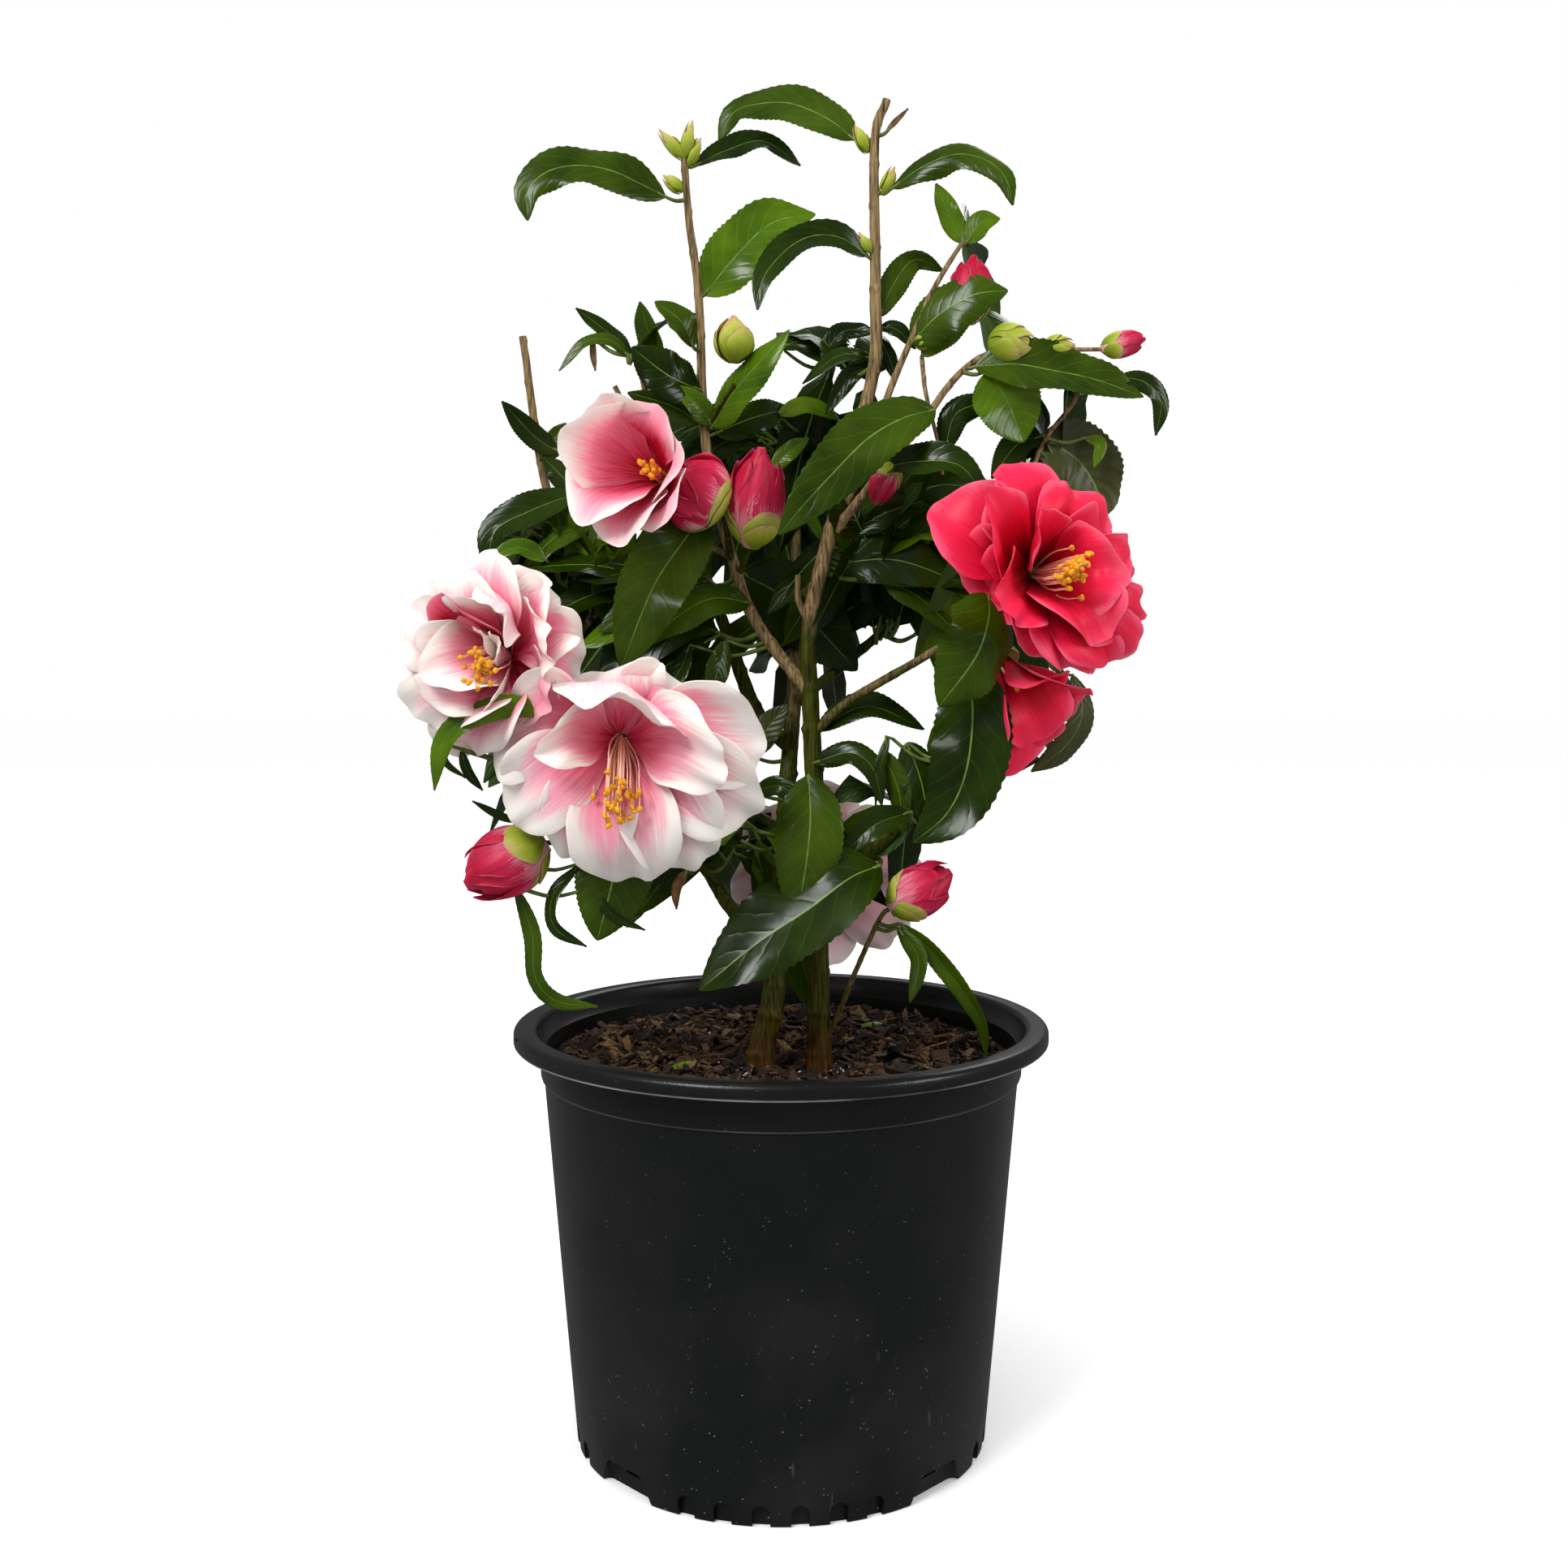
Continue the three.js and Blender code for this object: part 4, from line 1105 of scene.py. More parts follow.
    (DEEP, 9, LEFTWARD, [(-96, 274, -59), (-109, 258, -65), (-108, 243, -68), (-93, 234, -70)]),
    (DEEP, 6, FRONT, [(-91, 262, -62), (-80, 249, -64), (-65, 242, -64)]),
    (DRY, 6, FRONT, [(-45, 271, -38), (-50, 262, -41), (-50, 252, -42)]),
    (MID, 13, LEFTWARD, [(-127, 263, -64), (-119, 240, -66), (-118, 220, -67), (-108, 208, -68),
                         (-88, 205, -68)]),
    # a withered sprout near the cut top of the tallest stem
    (DRY, 3.5, FRONT, [(48.5, 615, -3), (52, 619, -4), (59, 626, -4)]),
]


def add_leaf(growth, path, width, facing, tone, rows, columns, dice):
    fold = dice.uniform(0.05, 0.36)
    curl = dice.uniform(-0.08, 0.34)
    wave = dice.uniform(0.04, 0.15)
    turn = dice.uniform(0, 6.3)
    twist = dice.uniform(-0.5, 0.5)
    grid = leaf_grid(path, width, facing, rows, columns, fold, curl, wave, turn, twist)
    add_blade(growth, grid, leaf_thickness, columns, tone, UNDERSIDE[tone], RIB)


stalks = Growth()


def add_twig(path, foot_radius, tip_radius):
    add_tube(stalks, path, np.linspace(foot_radius, tip_radius, len(path)), 6)


def add_stalk(foot, start, heading):
    """A stalk that leaves the wood and runs into the midrib."""
    span = np.linalg.norm(start - foot)
    elbow = (foot + start) / 2 + (0, 0, -0.12 * span)
    add_twig(smooth_path([foot, elbow, start, start + heading * 0.004], 10), 0.0011, 0.0007)


dice = random.Random(11)
front_leaves = Growth()
young_and_backlit_leaves = Growth()
for tone, width, facing, points in placed_leaves:
    path = np.array([at(*point) for point in points])
    heading = unit(path[1] - path[0])
    grown = young_and_backlit_leaves if tone == FRESH_AND_BACKLIT else front_leaves
    add_leaf(grown, path, width * 0.001, facing, tone, toothed_rows, fine_columns, dice)
    add_stalk(nearest_wood(path[0]), path[0], heading)

# A few shed scraps lie on the potting mix.
for tone, x, y, length, turn in (
    (FRESH_AND_BACKLIT, -0.052, -0.020, 0.014, 0.5), (FRESH_AND_BACKLIT, 0.040, 0.062, 0.013, 0.1),
    (DRY, 0.052, -0.012, 0.010, 0.6), (DRY, -0.030, 0.045, 0.012, 1.2),
):
    low_end = np.array((x, y, soil_height(x, y) + 0.0026))
    way = np.array((math.cos(turn), math.sin(turn), 0.12)) * length
    scrap = np.array([low_end, low_end + way * 0.5 + (0, 0, 0.001), low_end + way])
    facing = (0, -0.3, 1)
    add_leaf(front_leaves, scrap, length * 0.4, facing, tone, plain_rows, plain_columns, dice)

# Behind and between them the twigs fill each mass with leaves by a seeded rule. A leaf is kept
# only where the crown is closed from the front, so the gaps between the boughs stay open.
# These gaps are given as they look from the front: left, bottom, right and top, in mm.
open_sky = [
    (-8, 345, 4, 366), (-10, 312, -2, 326), (7, 312, 12, 326), (20, 320, 62, 340),
    (45, 345, 66, 362), (44, 370, 80, 387), (-26, 345, -17, 358), (-36, 404, -27, 412),
    (-89, 366, -72, 382), (48, 470, 75, 500), (60, 438, 75, 446), (-20, 495, 20, 512),
    (-48, 245, -28, 265), (-110, 455, -95, 500), (60, 225, 100, 262), (-70, 225, -45, 255),
]
leaf_nodes = [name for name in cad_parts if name.startswith(("leaves_", "leaf_"))]
plant_nodes = [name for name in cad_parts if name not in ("pot", "soil")]
mask_step = 0.002
mask_low = np.array((-0.20, 0.16))
mask_rows = 250
mask_columns = 210
mask = np.zeros((mask_rows, mask_columns), bool)


def seen_from_front(places):
    """Where places look to be, across and up, on the plane through the pot's axis."""
    reach = 1 + places[..., 1] / eye_distance
    across = places[..., 0] / reach
    up = eye_height + (places[..., 2] - eye_height) / reach
    return np.stack([across, up], -1)


# The mask is true wherever a node of the plant covers what is behind it.
for name in plant_nodes:
    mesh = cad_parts[name].data
    places = np.array([corner.co for corner in mesh.vertices])
    flat = (seen_from_front(places) - mask_low) / mask_step
    for face in mesh.polygons:
        a, b, c = flat[list(face.vertices)[:3]]
        low = np.floor(np.minimum(np.minimum(a, b), c)).astype(int)
        high = np.ceil(np.maximum(np.maximum(a, b), c)).astype(int) + 1
        xs, ys = np.meshgrid(np.arange(low[0], high[0]), np.arange(low[1], high[1]))
        area = (b[0] - a[0]) * (c[1] - a[1]) - (c[0] - a[0]) * (b[1] - a[1])
        if abs(area) < 1e-9:
            continue
        u = ((xs - a[0]) * (c[1] - a[1]) - (c[0] - a[0]) * (ys - a[1])) / area
        v = ((b[0] - a[0]) * (ys - a[1]) - (xs - a[0]) * (b[1] - a[1])) / area
        inside = (u >= 0) & (v >= 0) & (u + v <= 1)
        inside &= (xs >= 0) & (ys >= 0) & (xs < mask_columns) & (ys < mask_rows)
        mask[ys[inside], xs[inside]] = True


def keeps_gaps_open(places):
    flat = seen_from_front(places)
    cells = np.round((flat - mask_low) / mask_step).astype(int)
    if (cells < 0).any() or (cells >= (mask_columns, mask_rows)).any():
        return False
    if not mask[cells[:, 1], cells[:, 0]].all():
        return False
    x, z = flat[:, 0] * 1000, flat[:, 1] * 1000
    for left, bottom, right, top in open_sky:
        if ((x > left) & (x < right) & (z > bottom) & (z < top)).any():
            return False
    return True


def scatter(dice, spread):
    return np.array([dice.gauss(0, spread) for _ in range(3)])


# How many sprays fill each mass. The masses that aren't named hold placed leaves only.
sprays = {
    "leaves_back_top": 20, "leaves_back_right": 20, "leaves_back_left": 20,
    "leaves_back_low": 16, "leaves_centre_dark": 9, "leaves_right_mid": 8,
    "leaves_left_inner": 9, "leaves_right_dark": 7, "leaves_low_right_inner": 5,
    "leaves_low_middle": 4, "leaves_centre_high": 5, "leaves_centre_top": 3,
    "leaves_upper_left": 2, "leaves_below_cup": 5, "leaves_left": 2,
    "leaves_behind_red": 3, "leaves_far_right": 2, "leaves_upper_right": 2,
}
inner_leaves = Growth()
dice = random.Random(23)
middle_of_crown = np.array((0.0, 0.01, 0.36))
crown_reach = 0.118
spray_front = -0.012
leaf_front = 0.012
back_from = 0.045
tries_per_leaf = 16


def grow_leaf(start, heading, side_shown, front, dice):
    """Tries several ways to grow one leaf from its twig. True if one of them fits."""
    for _ in range(tries_per_leaf):
        way = unit(heading + scatter(dice, 0.8))
        length = dice.uniform(0.044, 0.078)
        droop = np.array((0, 0, -length * dice.uniform(0.1, 0.5)))
        path = start + way * length * np.array((0.08, 0.5, 1.0))[:, None]
        path[2] += droop
        if path[:, 1].min() < front or abs(path[:, 1]).max() > crown_reach:
            continue
        width = length * dice.uniform(0.42, 0.52)
        facing = unit(side_shown + scatter(dice, 0.35))
        side = unit(np.cross(facing, way)) * width * 0.45
        if not keeps_gaps_open(np.vstack([path, path[1] + side, path[1] - side])):
            continue
        # A tenth of the filling leaves take the fresh tone, which is partly painted light through the
        # leaf.
        tone = dice.choices((DEEP, MID, FRESH_AND_BACKLIT), (6, 3, 1))[0]
        grown = young_and_backlit_leaves if tone == FRESH_AND_BACKLIT else inner_leaves
        add_leaf(grown, path, width, facing, tone, plain_rows, plain_columns, dice)
        add_stalk(start, path[0], way)
        return True
    return False


for name, spray_count in sprays.items():
    low, high = (np.array(corner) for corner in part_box(name))
    centre, half = (low + high) / 2, (high - low) / 2
    front = max(low[1], spray_front)
    for _ in range(spray_count):
        out = unit(scatter(dice, 1))
        heart = centre + half * out * dice.uniform(0.1, 0.75)
        heart[1] = max(heart[1], front)
        foot = nearest_wood(heart)
        heading = unit(heart - foot + (heart - middle_of_crown) * 0.6)
        twig = smooth_path([foot, (foot + heart) / 2 + (0, 0, -0.004), heart], 12)
        outward = (heart - middle_of_crown) * (1.0, 1.0, 0.3)
        if centre[1] < back_from:
            outward = outward * (1.0, 0.0, 1.0) + (0, -0.08, 0)
        side_shown = unit(outward) * 0.9 + (0, 0, 0.45)
        grown_leaves = 0
        for leaf in range(dice.choice((3, 4, 5))):
            start = twig[min(11, 7 + leaf)]
            grown_leaves += grow_leaf(start, heading, side_shown, front - leaf_front, dice)
        if grown_leaves:
            add_twig(twig, 0.0014, 0.0009)


# The blooms: loose double flowers of thin, ruffled petals round a boss of yellow stamens. The
# pink ones are white at the edge and rose in the throat, and the red ones crimson all through.
petal_thickness = 0.0005
spine_places = 40
petal_rows = 26
petal_columns = np.sin(np.linspace(-math.pi / 2, math.pi / 2, 31))


def petal_grid(path, width, axis, cup, frill, pointed, dice):
    """The middle surface of a petal whose tip is a broad, slightly notched round."""
    spine = smooth_path(path, spine_places)
    tangent = unit(np.gradient(spine, axis=0))
    radial = path[1] + path[2] - 2 * path[0]
    side = unit(np.cross(axis, radial - axis * np.dot(axis, radial)))
    face = unit(np.cross(tangent, side))
    u = petal_columns[None, :]
    v = np.linspace(0, 1, petal_rows)[:, None]
    phase = [dice.uniform(0, 6.3) for _ in range(6)]
    notch = dice.uniform(0.0, 0.06)
    round_end = 1 - np.sqrt(1 - 0.96 * u**2)
    reach = 1.04 - 0.36 * round_end - notch * np.exp(-((u / 0.2) ** 2))
    reach = reach + 0.022 * np.sin(u * 4.5 + phase[0]) + 0.012 * np.sin(u * 9 + phase[1])
    point = dice.uniform(*pointed)
    peak = 1.1 - 0.46 * np.abs(u - dice.uniform(-0.4, 0.4)) ** 1.1
    reach = reach * (1 - point) + peak * point
    along = v * reach
    place = np.clip(along, 0, 1.06) * (spine_places - 1)
    index = np.minimum(place.astype(int), spine_places - 2)
    share = (place - index)[..., None]
    spine_at = spine[index] * (1 - share) + spine[index + 1] * share
    face_at = unit(face[index] * (1 - share) + face[index + 1] * share)
    rise = np.clip(along / 0.62, 0, 1)
    half = width / 2 * (0.2 + 0.8 * rise * rise * (3 - 2 * rise))
    edge = np.clip(along, 0, 1) ** 2.4
    lift = cup * half * u**2
    lift = lift + frill * width * edge * (
        0.55 * np.sin(u * 3.4 + phase[2] + along * 1.5) + 0.3 * np.sin(u * 7.0 + phase[3])
    )
    lift = lift + frill * width * 0.4 * np.abs(u) ** 3 * np.sin(along * 8 + phase[4]) * rise
    lift = lift + frill * width * 0.2 * edge**2 * np.sin(u * 12 + phase[5])
    lift = lift - 0.04 * width * np.exp(-((u / 0.3) ** 2)) * rise
    lift = lift - 0.16 * width * np.clip((along - 0.72) / 0.28, 0, 1) ** 2
    return spine_at + side * (u * half)[..., None] + face_at * lift[..., None]


def petal_tone(paint):
    """0 in the throat and 1 at the rim of a petal, with streaks that run from its foot."""
    across, along = on_blade(paint)
    number = paint.node("Attribute", attribute_name="number", output="Fac")
    blush_and_shade = paint.node("Attribute", attribute_name="tint", output="Fac")
    streaked = paint.node("CombineXYZ", {"X": across * 38.0, "Y": along * 3.2, "Z": number * 3.7})
    streak = streaked.cloud(1.0, 4.0)
    broad = paint.node("CombineXYZ", {"X": across * 4.0, "Y": along * 1.2, "Z": number * 1.9})
    drift = broad.cloud(1.0, 2.0)
    side = abs(across * 2.0 - 1.0)
    rim = side**4.0 * along * 0.4
    fade = (1.0 - along).limited() * 3.6
    tone = along**1.5 * 0.90 + rim + (streak - 0.5) * 0.6 * fade.limited() + (drift - 0.5) * 0.4
    return (tone - blush_and_shade).limited(), streak


def petal_finish(stops, roughness):
    def recipe(paint):
        tone, streak = petal_tone(paint)
        colours = [(place, ink(code)) for place, code in stops]
        crease = paint.place().cloud(160.0, 3.0)
        return {
            "Base Color": paint.node("ValToRGB", {"Fac": tone}, stops=colours),
            "Roughness": roughness,
            "Normal": (streak * 0.7 + crease * 0.5).relief(0.3, 0.0008),
            "Subsurface Weight": 0.25,
            "Subsurface Radius": (1.0, 0.5, 0.45),
            "Subsurface Scale": 0.004,
            "Specular IOR Level": 0.22,
        }

    return recipe


pink_stops = [
    (0.0, "b8102f"), (0.10, "d93a5b"), (0.26, "ee6b88"), (0.46, "f38ba2"), (0.64, "f3a6b4"),
    (0.79, "f0cdca"), (0.93, "f0e4dc"),
]
back_stops = [(0.0, "e88ea2"), (0.4, "eeb0bb"), (0.7, "efccce"), (1.0, "f0e4dc")]
red_stops = [(0.0, "7a0412"), (0.2, "bd0824"), (0.5, "e0143a"), (0.8, "ee244c"), (1.0, "f6506f")]
red_back_stops = [(0.0, "a20a24"), (0.5, "ce1238"), (1.0, "ea3c60")]
bud_stops = [(0.0, "e8b0a2"), (0.22, "de7484"), (0.42, "c6244a"), (0.8, "a8082c"), (1.0, "bc2c50")]
sepal_stops = [(0.0, "74861a"), (0.45, "9aa62e"), (0.75, "b3ab58"), (0.92, "b98a66"), (1.0, "8a5a3c")]
petal_finishes = [
    finish("petal_pink", petal_finish(pink_stops, 0.5)),
    finish("petal_pale", petal_finish(back_stops, 0.55)),
    finish("petal_red", petal_finish(red_stops, 0.42)),
    finish("petal_red_back", petal_finish(red_back_stops, 0.5)),
    finish("petal_bud", petal_finish(bud_stops, 0.4)),
    finish("sepal", petal_finish(sepal_stops, 0.45)),
]
PINK, PALE, RED, RED_BACK, BUD, SEPAL = range(6)
BACK_OF = {PINK: PALE, RED: RED_BACK}
stamen_finishes = [
    finish("filament_cream", mottled("f0b397", "f9dcc4", 300.0, 0.5)),
    finish("anther_gold", mottled("c97a04", "f2b21c", 1400.0, 0.7)),
]
stamens = Growth()


def add_petal(growth, path, width, axis, cup, frill, inner, blush_and_shade, dice):
    """A petal from just off the throat, by way of its middle, to its tip."""
    away = path[1] - path[0]
    path[0] += unit(away - axis * np.dot(axis, away)) * 0.003
    pointed = (0.1, 0.65) if inner == RED else (0.0, 0.25)
    grid = petal_grid(path, width, axis, cup, frill, pointed, dice)
    add_blade(growth, grid, petal_thickness, petal_columns, inner, BACK_OF[inner], None, blush_and_shade)


def add_stamens(throat, heads, spread, count, dice):
    """Filaments that rise together from the throat, each with a golden head."""
    for _ in range(count):
        jitter = scatter(dice, 1) * spread
        end = heads + jitter
        foot = throat + jitter * 0.25
        bulge = (foot + end) / 2 + jitter * 0.3
        path = smooth_path([foot, bulge, end], 7)
        add_tube(stamens, path, np.linspace(0.0005, 0.0003, 7), 4, 0)
        way = unit(end - bulge + scatter(dice, 0.012))
        head = np.array([end + way * step * 0.001 for step in (-1.4, -0.6, 0.7, 1.7)])
        add_tube(stamens, head, np.array((0.0006, 0.0013, 0.0011, 0.0005)), 6, 1)


open_blooms = []


def open_bloom(node, throat, axis, inner, blush_and_shade, petals, heads, spread, count):
    """An open flower: its petals are given by middle, tip, width, cup and frill, in mm, and the
    last number of some is how much deeper their tone is drawn, which on the cup bloom is painted
    shade."""
    growth = Growth()
    dice = random.Random(node)
    axis = unit(np.asarray(axis, float))
    throat = at(*throat)
    for mid, tip, width, cup, frill, *deeper in petals:
        tone = blush_and_shade + sum(deeper) + dice.uniform(-0.04, 0.04)
        path = np.array([throat, at(*mid), at(*tip)])
        add_petal(growth, path, width * 0.001, axis, cup, frill, inner, tone, dice)
    add_stamens(throat, at(*heads), spread * 0.001, count, dice)
    open_blooms.append((throat, axis))
    slot = "petal_red" if inner == RED else "petal_pink"
    growth.piece("petals_" + node, petal_finishes, slot, [node])


open_bloom("bloom_big", (-76, 333, -62), (0, -1, -0.05), PINK, -0.13, [
    ((-87, 351, -80), (-86, 368, -78), 62, 0.10, 0.09),
    ((-110, 342, -86), (-139, 331, -80), 48, 0.10, 0.10),
    ((-106, 318, -90), (-131, 297, -84), 40, 0.10, 0.12),
    ((-90, 303, -88), (-98, 275, -80), 42, 0.12, 0.09),
    ((-75, 298, -90), (-71, 263, -84), 48, 0.12, 0.08),
    ((-56, 302, -88), (-38, 274, -80), 44, 0.12, 0.10),
    ((-44, 316, -88), (-12, 298, -82), 44, 0.10, 0.12),
    ((-42, 336, -84), (-8, 334, -78), 46, 0.10, 0.12),
    ((-56, 350, -82), (-40, 354, -78), 44, 0.15, 0.12),
    ((-76, 357, -84), (-74, 339, -110), 58, 0.10, 0.13, -0.10),
    ((-98, 338, -92), (-108, 329, -104), 30, 0.30, 0.14),
    ((-50, 334, -94), (-30, 322, -106), 40, 0.20, 0.15),
], (-77, 304, -98), 4.2, 44)

open_bloom("bloom_left", (-130, 372, -56), (-0.45, -0.88, 0.0), PINK, -0.05, [
    ((-150, 394, -76), (-160, 409, -78), 44, 0.2, 0.12),
    ((-138, 396, -72), (-140, 421, -72), 38, 0.2, 0.14),
    ((-154, 384, -82), (-176, 390, -84), 42, 0.2, 0.10),
    ((-152, 366, -84), (-176, 366, -86), 42, 0.2, 0.10),
    ((-150, 354, -84), (-171, 344, -84), 44, 0.2, 0.10),
    ((-140, 346, -80), (-152, 326, -76), 46, 0.15, 0.10),
    ((-120, 352, -76), (-120, 332, -70), 40, 0.15, 0.10),
    ((-108, 372, -68), (-92, 366, -62), 46, 0.15, 0.13),
    ((-112, 388, -68), (-102, 397, -62), 40, 0.2, 0.16),
    ((-122, 394, -70), (-118, 413, -68), 34, 0.2, 0.16),
    ((-148, 389, -84), (-162, 395, -94), 30, 0.3, 0.06, 0.75),
    ((-150, 370, -88), (-168, 367, -98), 34, 0.3, 0.08),
    ((-130, 396, -80), (-138, 388, -104), 30, 0.2, 0.14),
    ((-116, 384, -78), (-114, 376, -100), 32, 0.3, 0.16),
    ((-118, 360, -76), (-116, 350, -92), 34, 0.35, 0.10, 0.3),
    ((-136, 380, -84), (-145, 383, -98), 14, 0.35, 0.12, -0.4),
    ((-134, 376, -84), (-136, 380, -100), 13, 0.35, 0.12, -0.4),
    ((-134, 354, -82), (-142, 350, -98), 20, 0.35, 0.10, -0.3),
], (-143, 367, -98), 3.6, 34)

# The deeper tone of the cup's upper and right petals is painted shade, where the inside of the cup
# lies in shadow.
open_bloom("bloom_cup", (-56, 457, -34), (-0.42, -0.88, 0.12), PINK, 0.02, [
    ((-74, 477, -46), (-84, 487, -66), 38, 0.3, 0.03),
    ((-63, 475, -48), (-64, 485, -68), 40, 0.3, 0.03, 0.2),
    ((-51, 462, -50), (-54, 466, -72), 38, 0.35, 0.02, 0.1),
    ((-54, 447, -54), (-59, 440, -76), 34, 0.3, 0.03, 0.05),
    ((-67, 443, -54), (-77, 433, -77), 36, 0.3, 0.03),
    ((-80, 450, -54), (-92, 444, -78), 40, 0.3, 0.03),
    ((-82, 471, -52), (-95, 475, -75), 42, 0.3, 0.03),
], (-62, 461, -60), 2.0, 20)

open_bloom("bloom_red", (120, 412, -44), (0.42, -0.88, 0.05), RED, 0.0, [
    ((98, 428, -60), (76, 447, -60), 46, 0.2, 0.08),
    ((98, 414, -60), (84, 413, -60), 38, 0.2, 0.08),
    ((106, 438, -54), (103, 456, -48), 32, 0.2, 0.14),
    ((118, 440, -58), (112, 465, -54), 36, 0.2, 0.12),
    ((136, 434, -58), (145, 453, -50), 40, 0.15, 0.15),
    ((148, 424, -58), (160, 434, -48), 38, 0.15, 0.15),
    ((152, 408, -60), (171, 410, -48), 42, 0.12, 0.13),
    ((152, 394, -62), (170, 388, -50), 36, 0.12, 0.15),
    ((146, 386, -66), (166, 371, -52), 40, 0.12, 0.15),
    ((136, 386, -66), (146, 364, -56), 42, 0.12, 0.13),
    ((122, 392, -62), (128, 372, -58), 40, 0.2, 0.10),
    ((106, 407, -62), (92, 402, -62), 36, 0.2, 0.08, 0.1),
    ((106, 424, -74), (101, 444, -90), 34, 0.35, 0.12, 0.1),
    ((112, 404, -76), (112, 396, -92), 36, 0.35, 0.10, 0.1),
    ((122, 430, -72), (128, 438, -88), 30, 0.3, 0.14, 0.1),
    ((140, 396, -72), (152, 388, -78), 44, 0.25, 0.10),
    ((146, 414, -66), (162, 416, -70), 42, 0.2, 0.10),
], (139, 415, -86), 3.3, 46)

open_bloom("bloom_red_low", (104, 371, -32), (0.40, -0.40, -0.82), RED, 0.05, [
    ((106, 350, -42), (110, 318, -42), 40, 0.5, 0.06),
    ((114, 352, -46), (124, 334, -48), 38, 0.4, 0.08),
    ((124, 360, -38), (143, 350, -40), 40, 0.4, 0.08),
    ((101, 350, -34), (102, 330, -34), 34, 0.5, 0.07),
    ((116, 354, -24), (128, 336, -20), 40, 0.5, 0.08),
    ((112, 346, -38), (116, 326, -36), 34, 0.5, 0.09),
    ((120, 362, -46), (134, 358, -48), 34, 0.4, 0.09),
], (118, 352, -38), 2.5, 16)

# The bloom at the back faces away: two rings of petals round a golden boss.
back_throat = at(21, 265, 32)
back_axis = unit(np.array((0.1, 0.95, 0.2)))
back_across = unit(np.cross((0, 0, 1), back_axis))
back_up = np.cross(back_axis, back_across)
back_growth = Growth()
dice = random.Random(31)
for ring_petals, reach, lean, width in ((8, 0.047, 0.010, 0.036), (6, 0.034, 0.020, 0.028)):
    for petal in range(ring_petals):
        angle = 2 * math.pi * (petal + dice.uniform(-0.15, 0.15)) / ring_petals
        radial = back_across * math.cos(angle) + back_up * math.sin(angle)
        mid = back_throat + radial * reach * 0.5 + back_axis * lean
        tip = back_throat + radial * reach + back_axis * lean * dice.uniform(0.7, 1.5)
        path = np.array([back_throat, mid, tip])
        add_petal(back_growth, path, width, back_axis, 0.15, 0.08, PINK, 0.0, dice)
add_stamens(back_throat, back_throat + back_axis * 0.022, 0.0042, 56, dice)
open_blooms.append((back_throat, back_axis))
back_growth.piece("petals_bloom_back", petal_finishes, "petal_pink", ["bloom_back"])
stamens.piece("stamens", stamen_finishes, "stamen")


# The buds: egg-shaped, wrapped in overlapping green scales, with the crimson petals breaking
# out at the tip of the larger ones. Slim green ones stand at the tips of the shoots.
scale_thickness = 0.0004
scale_rows = 14
scale_columns = np.linspace(-1, 1, 13)


def egg_girth(share):
    """The girth of the egg at a share of its length, as a part of its widest."""
    return np.sin(math.pi * share**0.78) ** 0.72


def add_scale(growth, foot, tip, radius, turn, half_span, top, clearance, flare, ruffle, patch):
    """A scale or tight petal that lies on the egg, from its foot up to the share top."""
    axis = tip - foot
    length = np.linalg.norm(axis)
    axis = axis / length
    across = unit(np.cross(axis, (0.2, 0.9, 0.3)))
    other = np.cross(axis, across)
    v = np.linspace(0, 1, scale_rows)[:, None]
    u = scale_columns[None, :]
    rise = v * top * (1 - 0.22 * np.abs(u) ** 2.6)
    egg = radius * egg_girth(np.clip(rise, 0.02, 0.985))
    pleats = np.sin(u * 5.0 + turn * 7) * v**2 + 0.6 * np.sin(u * 8.0 - v * 4 + turn * 3) * v
    egg = egg * (1 + ruffle * pleats) + clearance + flare * v**3
    angle = turn + u * half_span * (0.45 + 0.55 * np.sin(math.pi * np.clip(v * 0.9, 0, 1)))
    out = across * np.cos(angle)[..., None] + other * np.sin(angle)[..., None]
    grid = foot + axis * (rise * length)[..., None] + out * egg[..., None]
    add_blade(growth, grid, scale_thickness, scale_columns, patch, patch)


def add_bud(growth, foot, tip, radius, open_petals, scales, dice):
    """A bud on its foot: first its closed heart and petals, then its scales round the foot."""
    foot, tip = at(*foot), at(*tip)
    radius = radius * 0.001
    heart_patch = BUD if open_petals else SEPAL
    along = np.linspace(0.0, 1, 16)
    path = foot + (tip - foot) * along[:, None] * 0.97
    profile = radius * 0.93 * egg_girth(np.clip(along, 0.03, 0.97))
    add_tube(growth, path, profile, 18, heart_patch)
    for petal in range(open_petals):
        turn = petal * 2.4 + dice.uniform(-0.2, 0.2)
        top = dice.uniform(0.78, 1.0)
        clearance = 0.0003 * (open_petals - petal) / open_petals
        flare = radius * dice.uniform(0.0, 0.26)
        add_scale(growth, foot, tip, radius, turn, 1.0, top, clearance, flare, 0.05, BUD)
    for scale in range(scales):
        turn = scale * 2.1 + dice.uniform(-0.3, 0.3)
        share = (scales - scale) / scales
        top = 0.24 + 0.22 * share if open_petals else 0.5 + 0.45 * share
        clearance = 0.0006 + 0.0007 * scale / scales
        flare = radius * dice.uniform(0.0, 0.06)
        add_scale(growth, foot, tip, radius, turn, 0.95, top, clearance, flare, 0.01, SEPAL)


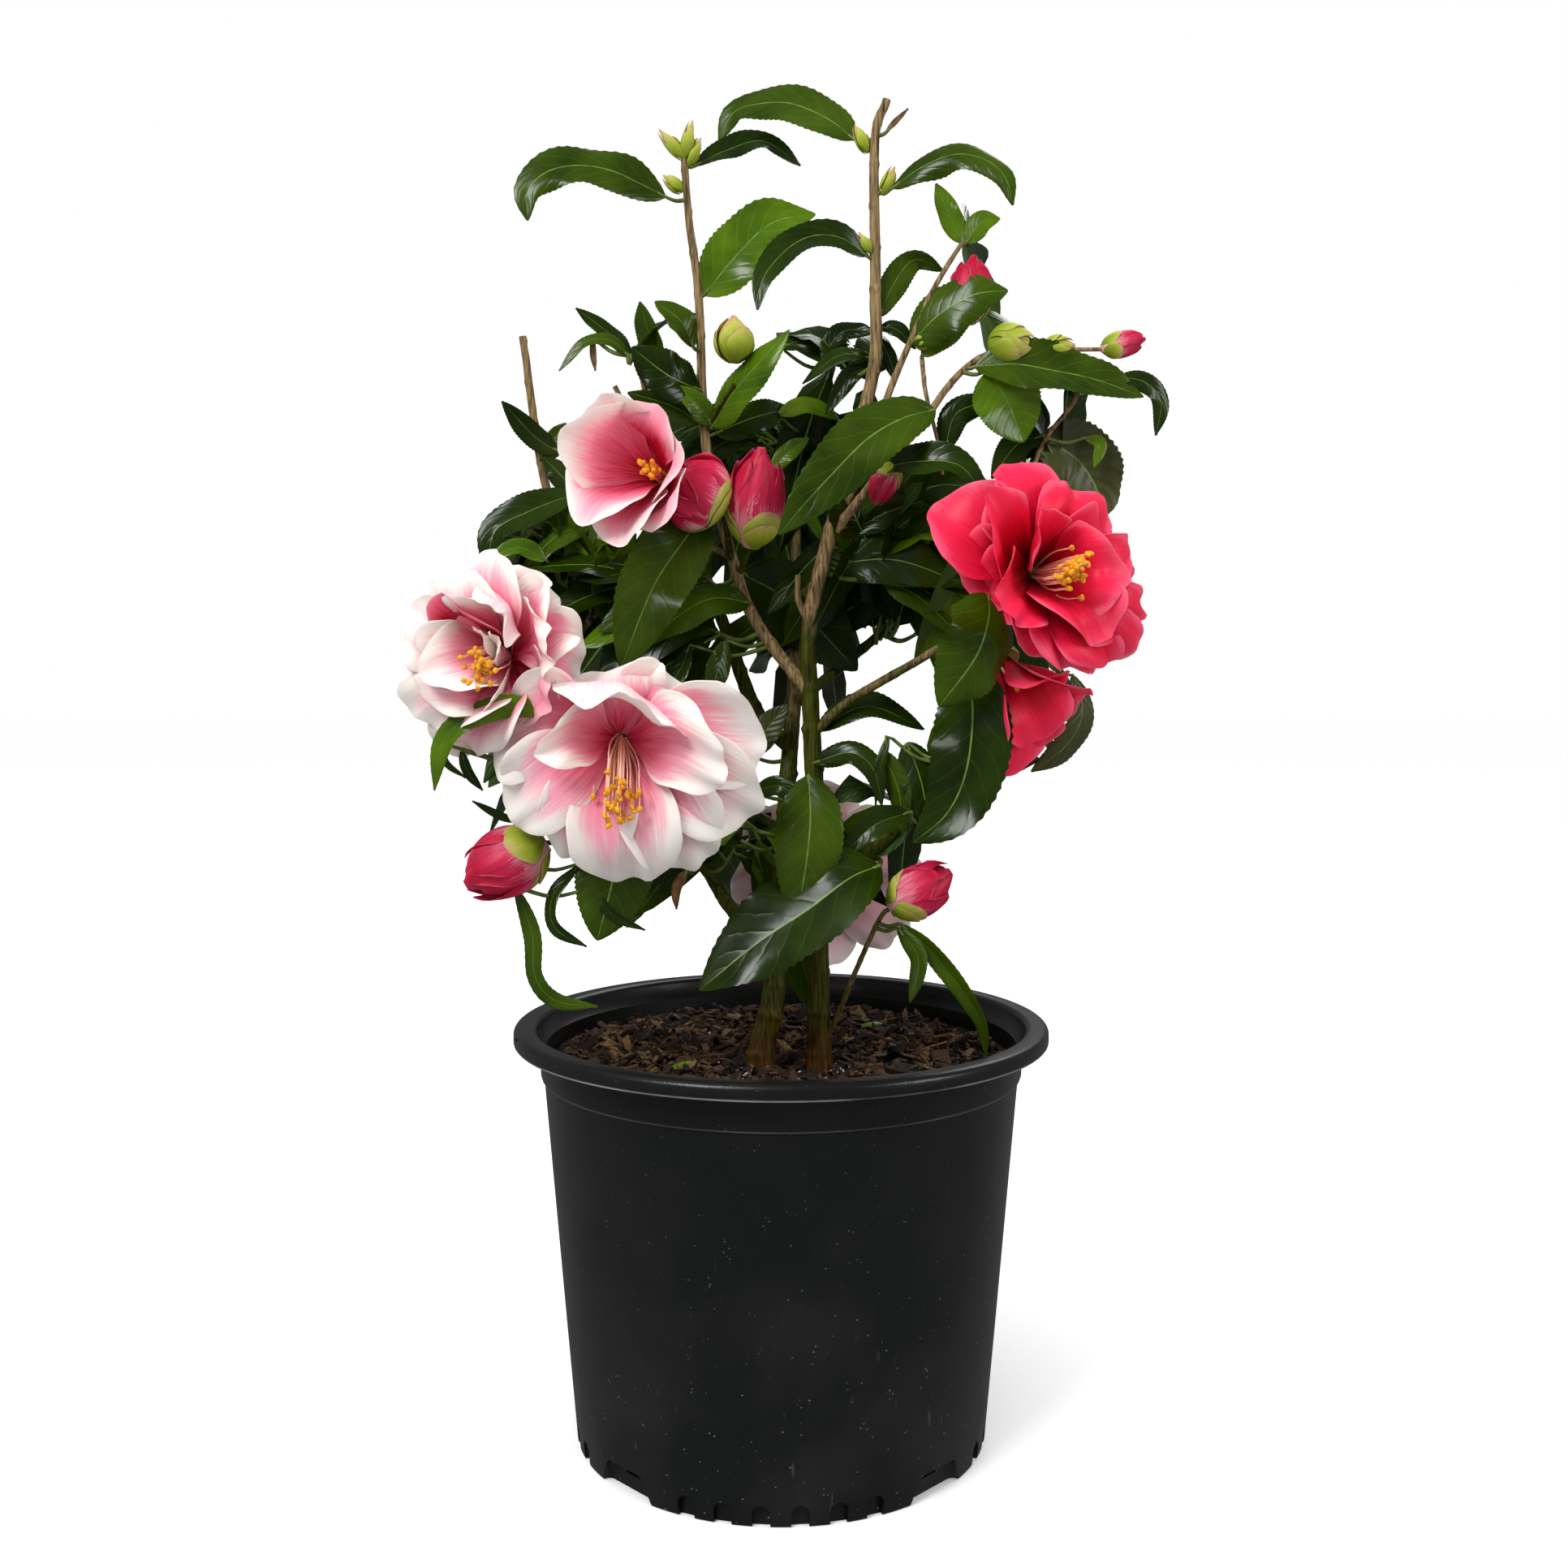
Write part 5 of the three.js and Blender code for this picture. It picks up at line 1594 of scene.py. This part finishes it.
dice = random.Random(41)
red_buds = Growth()
for foot, tip, radius, open_petals, scales in (
    ((-28, 441, -22), (-53, 458, -36), 16.5, 9, 5),
    ((-14, 424, -19), (-9, 472, -33), 12.8, 8, 5),
    ((-112, 285, -61), (-152, 263, -68), 14.5, 10, 4),
    ((52, 252, -43), (82, 271, -46), 11.0, 7, 5),
    ((88, 528, -14), (90, 560, -12), 9.0, 6, 4),
    ((150, 516, -25), (171, 521, -22), 5.6, 5, 2),
    ((53, 463, -20), (43, 444, -22), 6.2, 4, 4),
):
    add_bud(red_buds, foot, tip, radius, open_petals, scales, dice)
crimson_nodes = ["buds_centre", "bud_low_right", "bud_low_left"]
red_buds.piece("crimson_buds", petal_finishes, "petal_red", crimson_nodes)

green_buds = Growth()
for foot, tip, radius, scales in (
    ((-22, 510, -18), (-22, 532, -17), 8.2, 6),
    ((97, 519, -26), (120, 518, -26), 8.3, 6),
    ((123, 516, -26), (138, 518, -26), 4.6, 4),
    ((-45, 603, 0), (-57, 617, 0), 2.4, 3),
    ((-45, 603, 0), (-41, 621, 0), 2.6, 3),
    ((-44, 600, 0), (-37, 613, 1), 2.2, 3),
    ((-46, 588, 0), (-55, 596, -1), 2.4, 3),
    ((40, 606, -2), (34, 619, 0), 2.4, 3),
    ((47, 587, -4), (53, 600, -5), 2.3, 3),
    ((42, 560, -3), (36, 570, -4), 2.2, 3),
    ((63, 518, -12), (69, 521, -12), 3.0, 3),
    ((12, 400, 10), (14, 412, 4), 3.4, 3),
    ((-98, 436, 78), (-104, 450, 84), 3.0, 3),
    ((98, 436, 74), (104, 450, 78), 3.4, 4),
    ((-88, 384, 78), (-92, 398, 84), 3.2, 4),
):
    add_bud(green_buds, foot, tip, radius, 0, scales, dice)

# Two of them, at the back and between the stems, stand on short twigs of their own.
for points in (
    [(-88, 383, 78), (-95, 408, 81), (-98, 437, 78)],
    [(8, 396, 22), (11, 397, 16), (12, 401, 10)],
):
    add_twig(smooth_path([at(*point) for point in points], 12), 0.0013, 0.0010)

# Behind each open bloom the same green scales remain, as a shallow cup that holds its petals.
cup_depth = 0.008
cup_length = 0.020
cup_radius = 0.008
cup_scales = 5
for throat, axis in open_blooms:
    foot = throat - axis * cup_depth
    tip = foot + axis * cup_length
    for scale in range(cup_scales):
        turn = scale * 4 * math.pi / cup_scales
        clearance = 0.0003 * scale
        add_scale(green_buds, foot, tip, cup_radius, turn, 0.9, 0.5, clearance, 0.001, 0.01, SEPAL)
green_buds.piece("green_buds", petal_finishes, "sepal")

# The leaves are joined into three pieces: the placed ones, those that fill the crown, and the
# young pale ones among both, whose pale tone is partly painted light shining through them. Their
# stalks and twigs are a fourth.
young_nodes = [
    "leaves_high_left", "leaves_upper_right", "leaves_centre_left", "leaves_behind_red",
    "leaf_red_low", "leaves_below_cup", "leaf_far_left",
]
old_nodes = [name for name in leaf_nodes if name not in young_nodes]
front_leaves.piece("front_leaves", leaf_finishes, "leaf", leaf_nodes)
inner_leaves.piece("inner_leaves", leaf_finishes, "leaf", old_nodes)
young_and_backlit_leaves.piece("young_and_backlit_leaves", leaf_finishes, "leaf_young", young_nodes)
young_wood = finish("young_wood", mottled("3c4d12", "67782b", 260.0, 0.5))
stalks.piece("stalks_and_twigs", [young_wood], "bark_green")
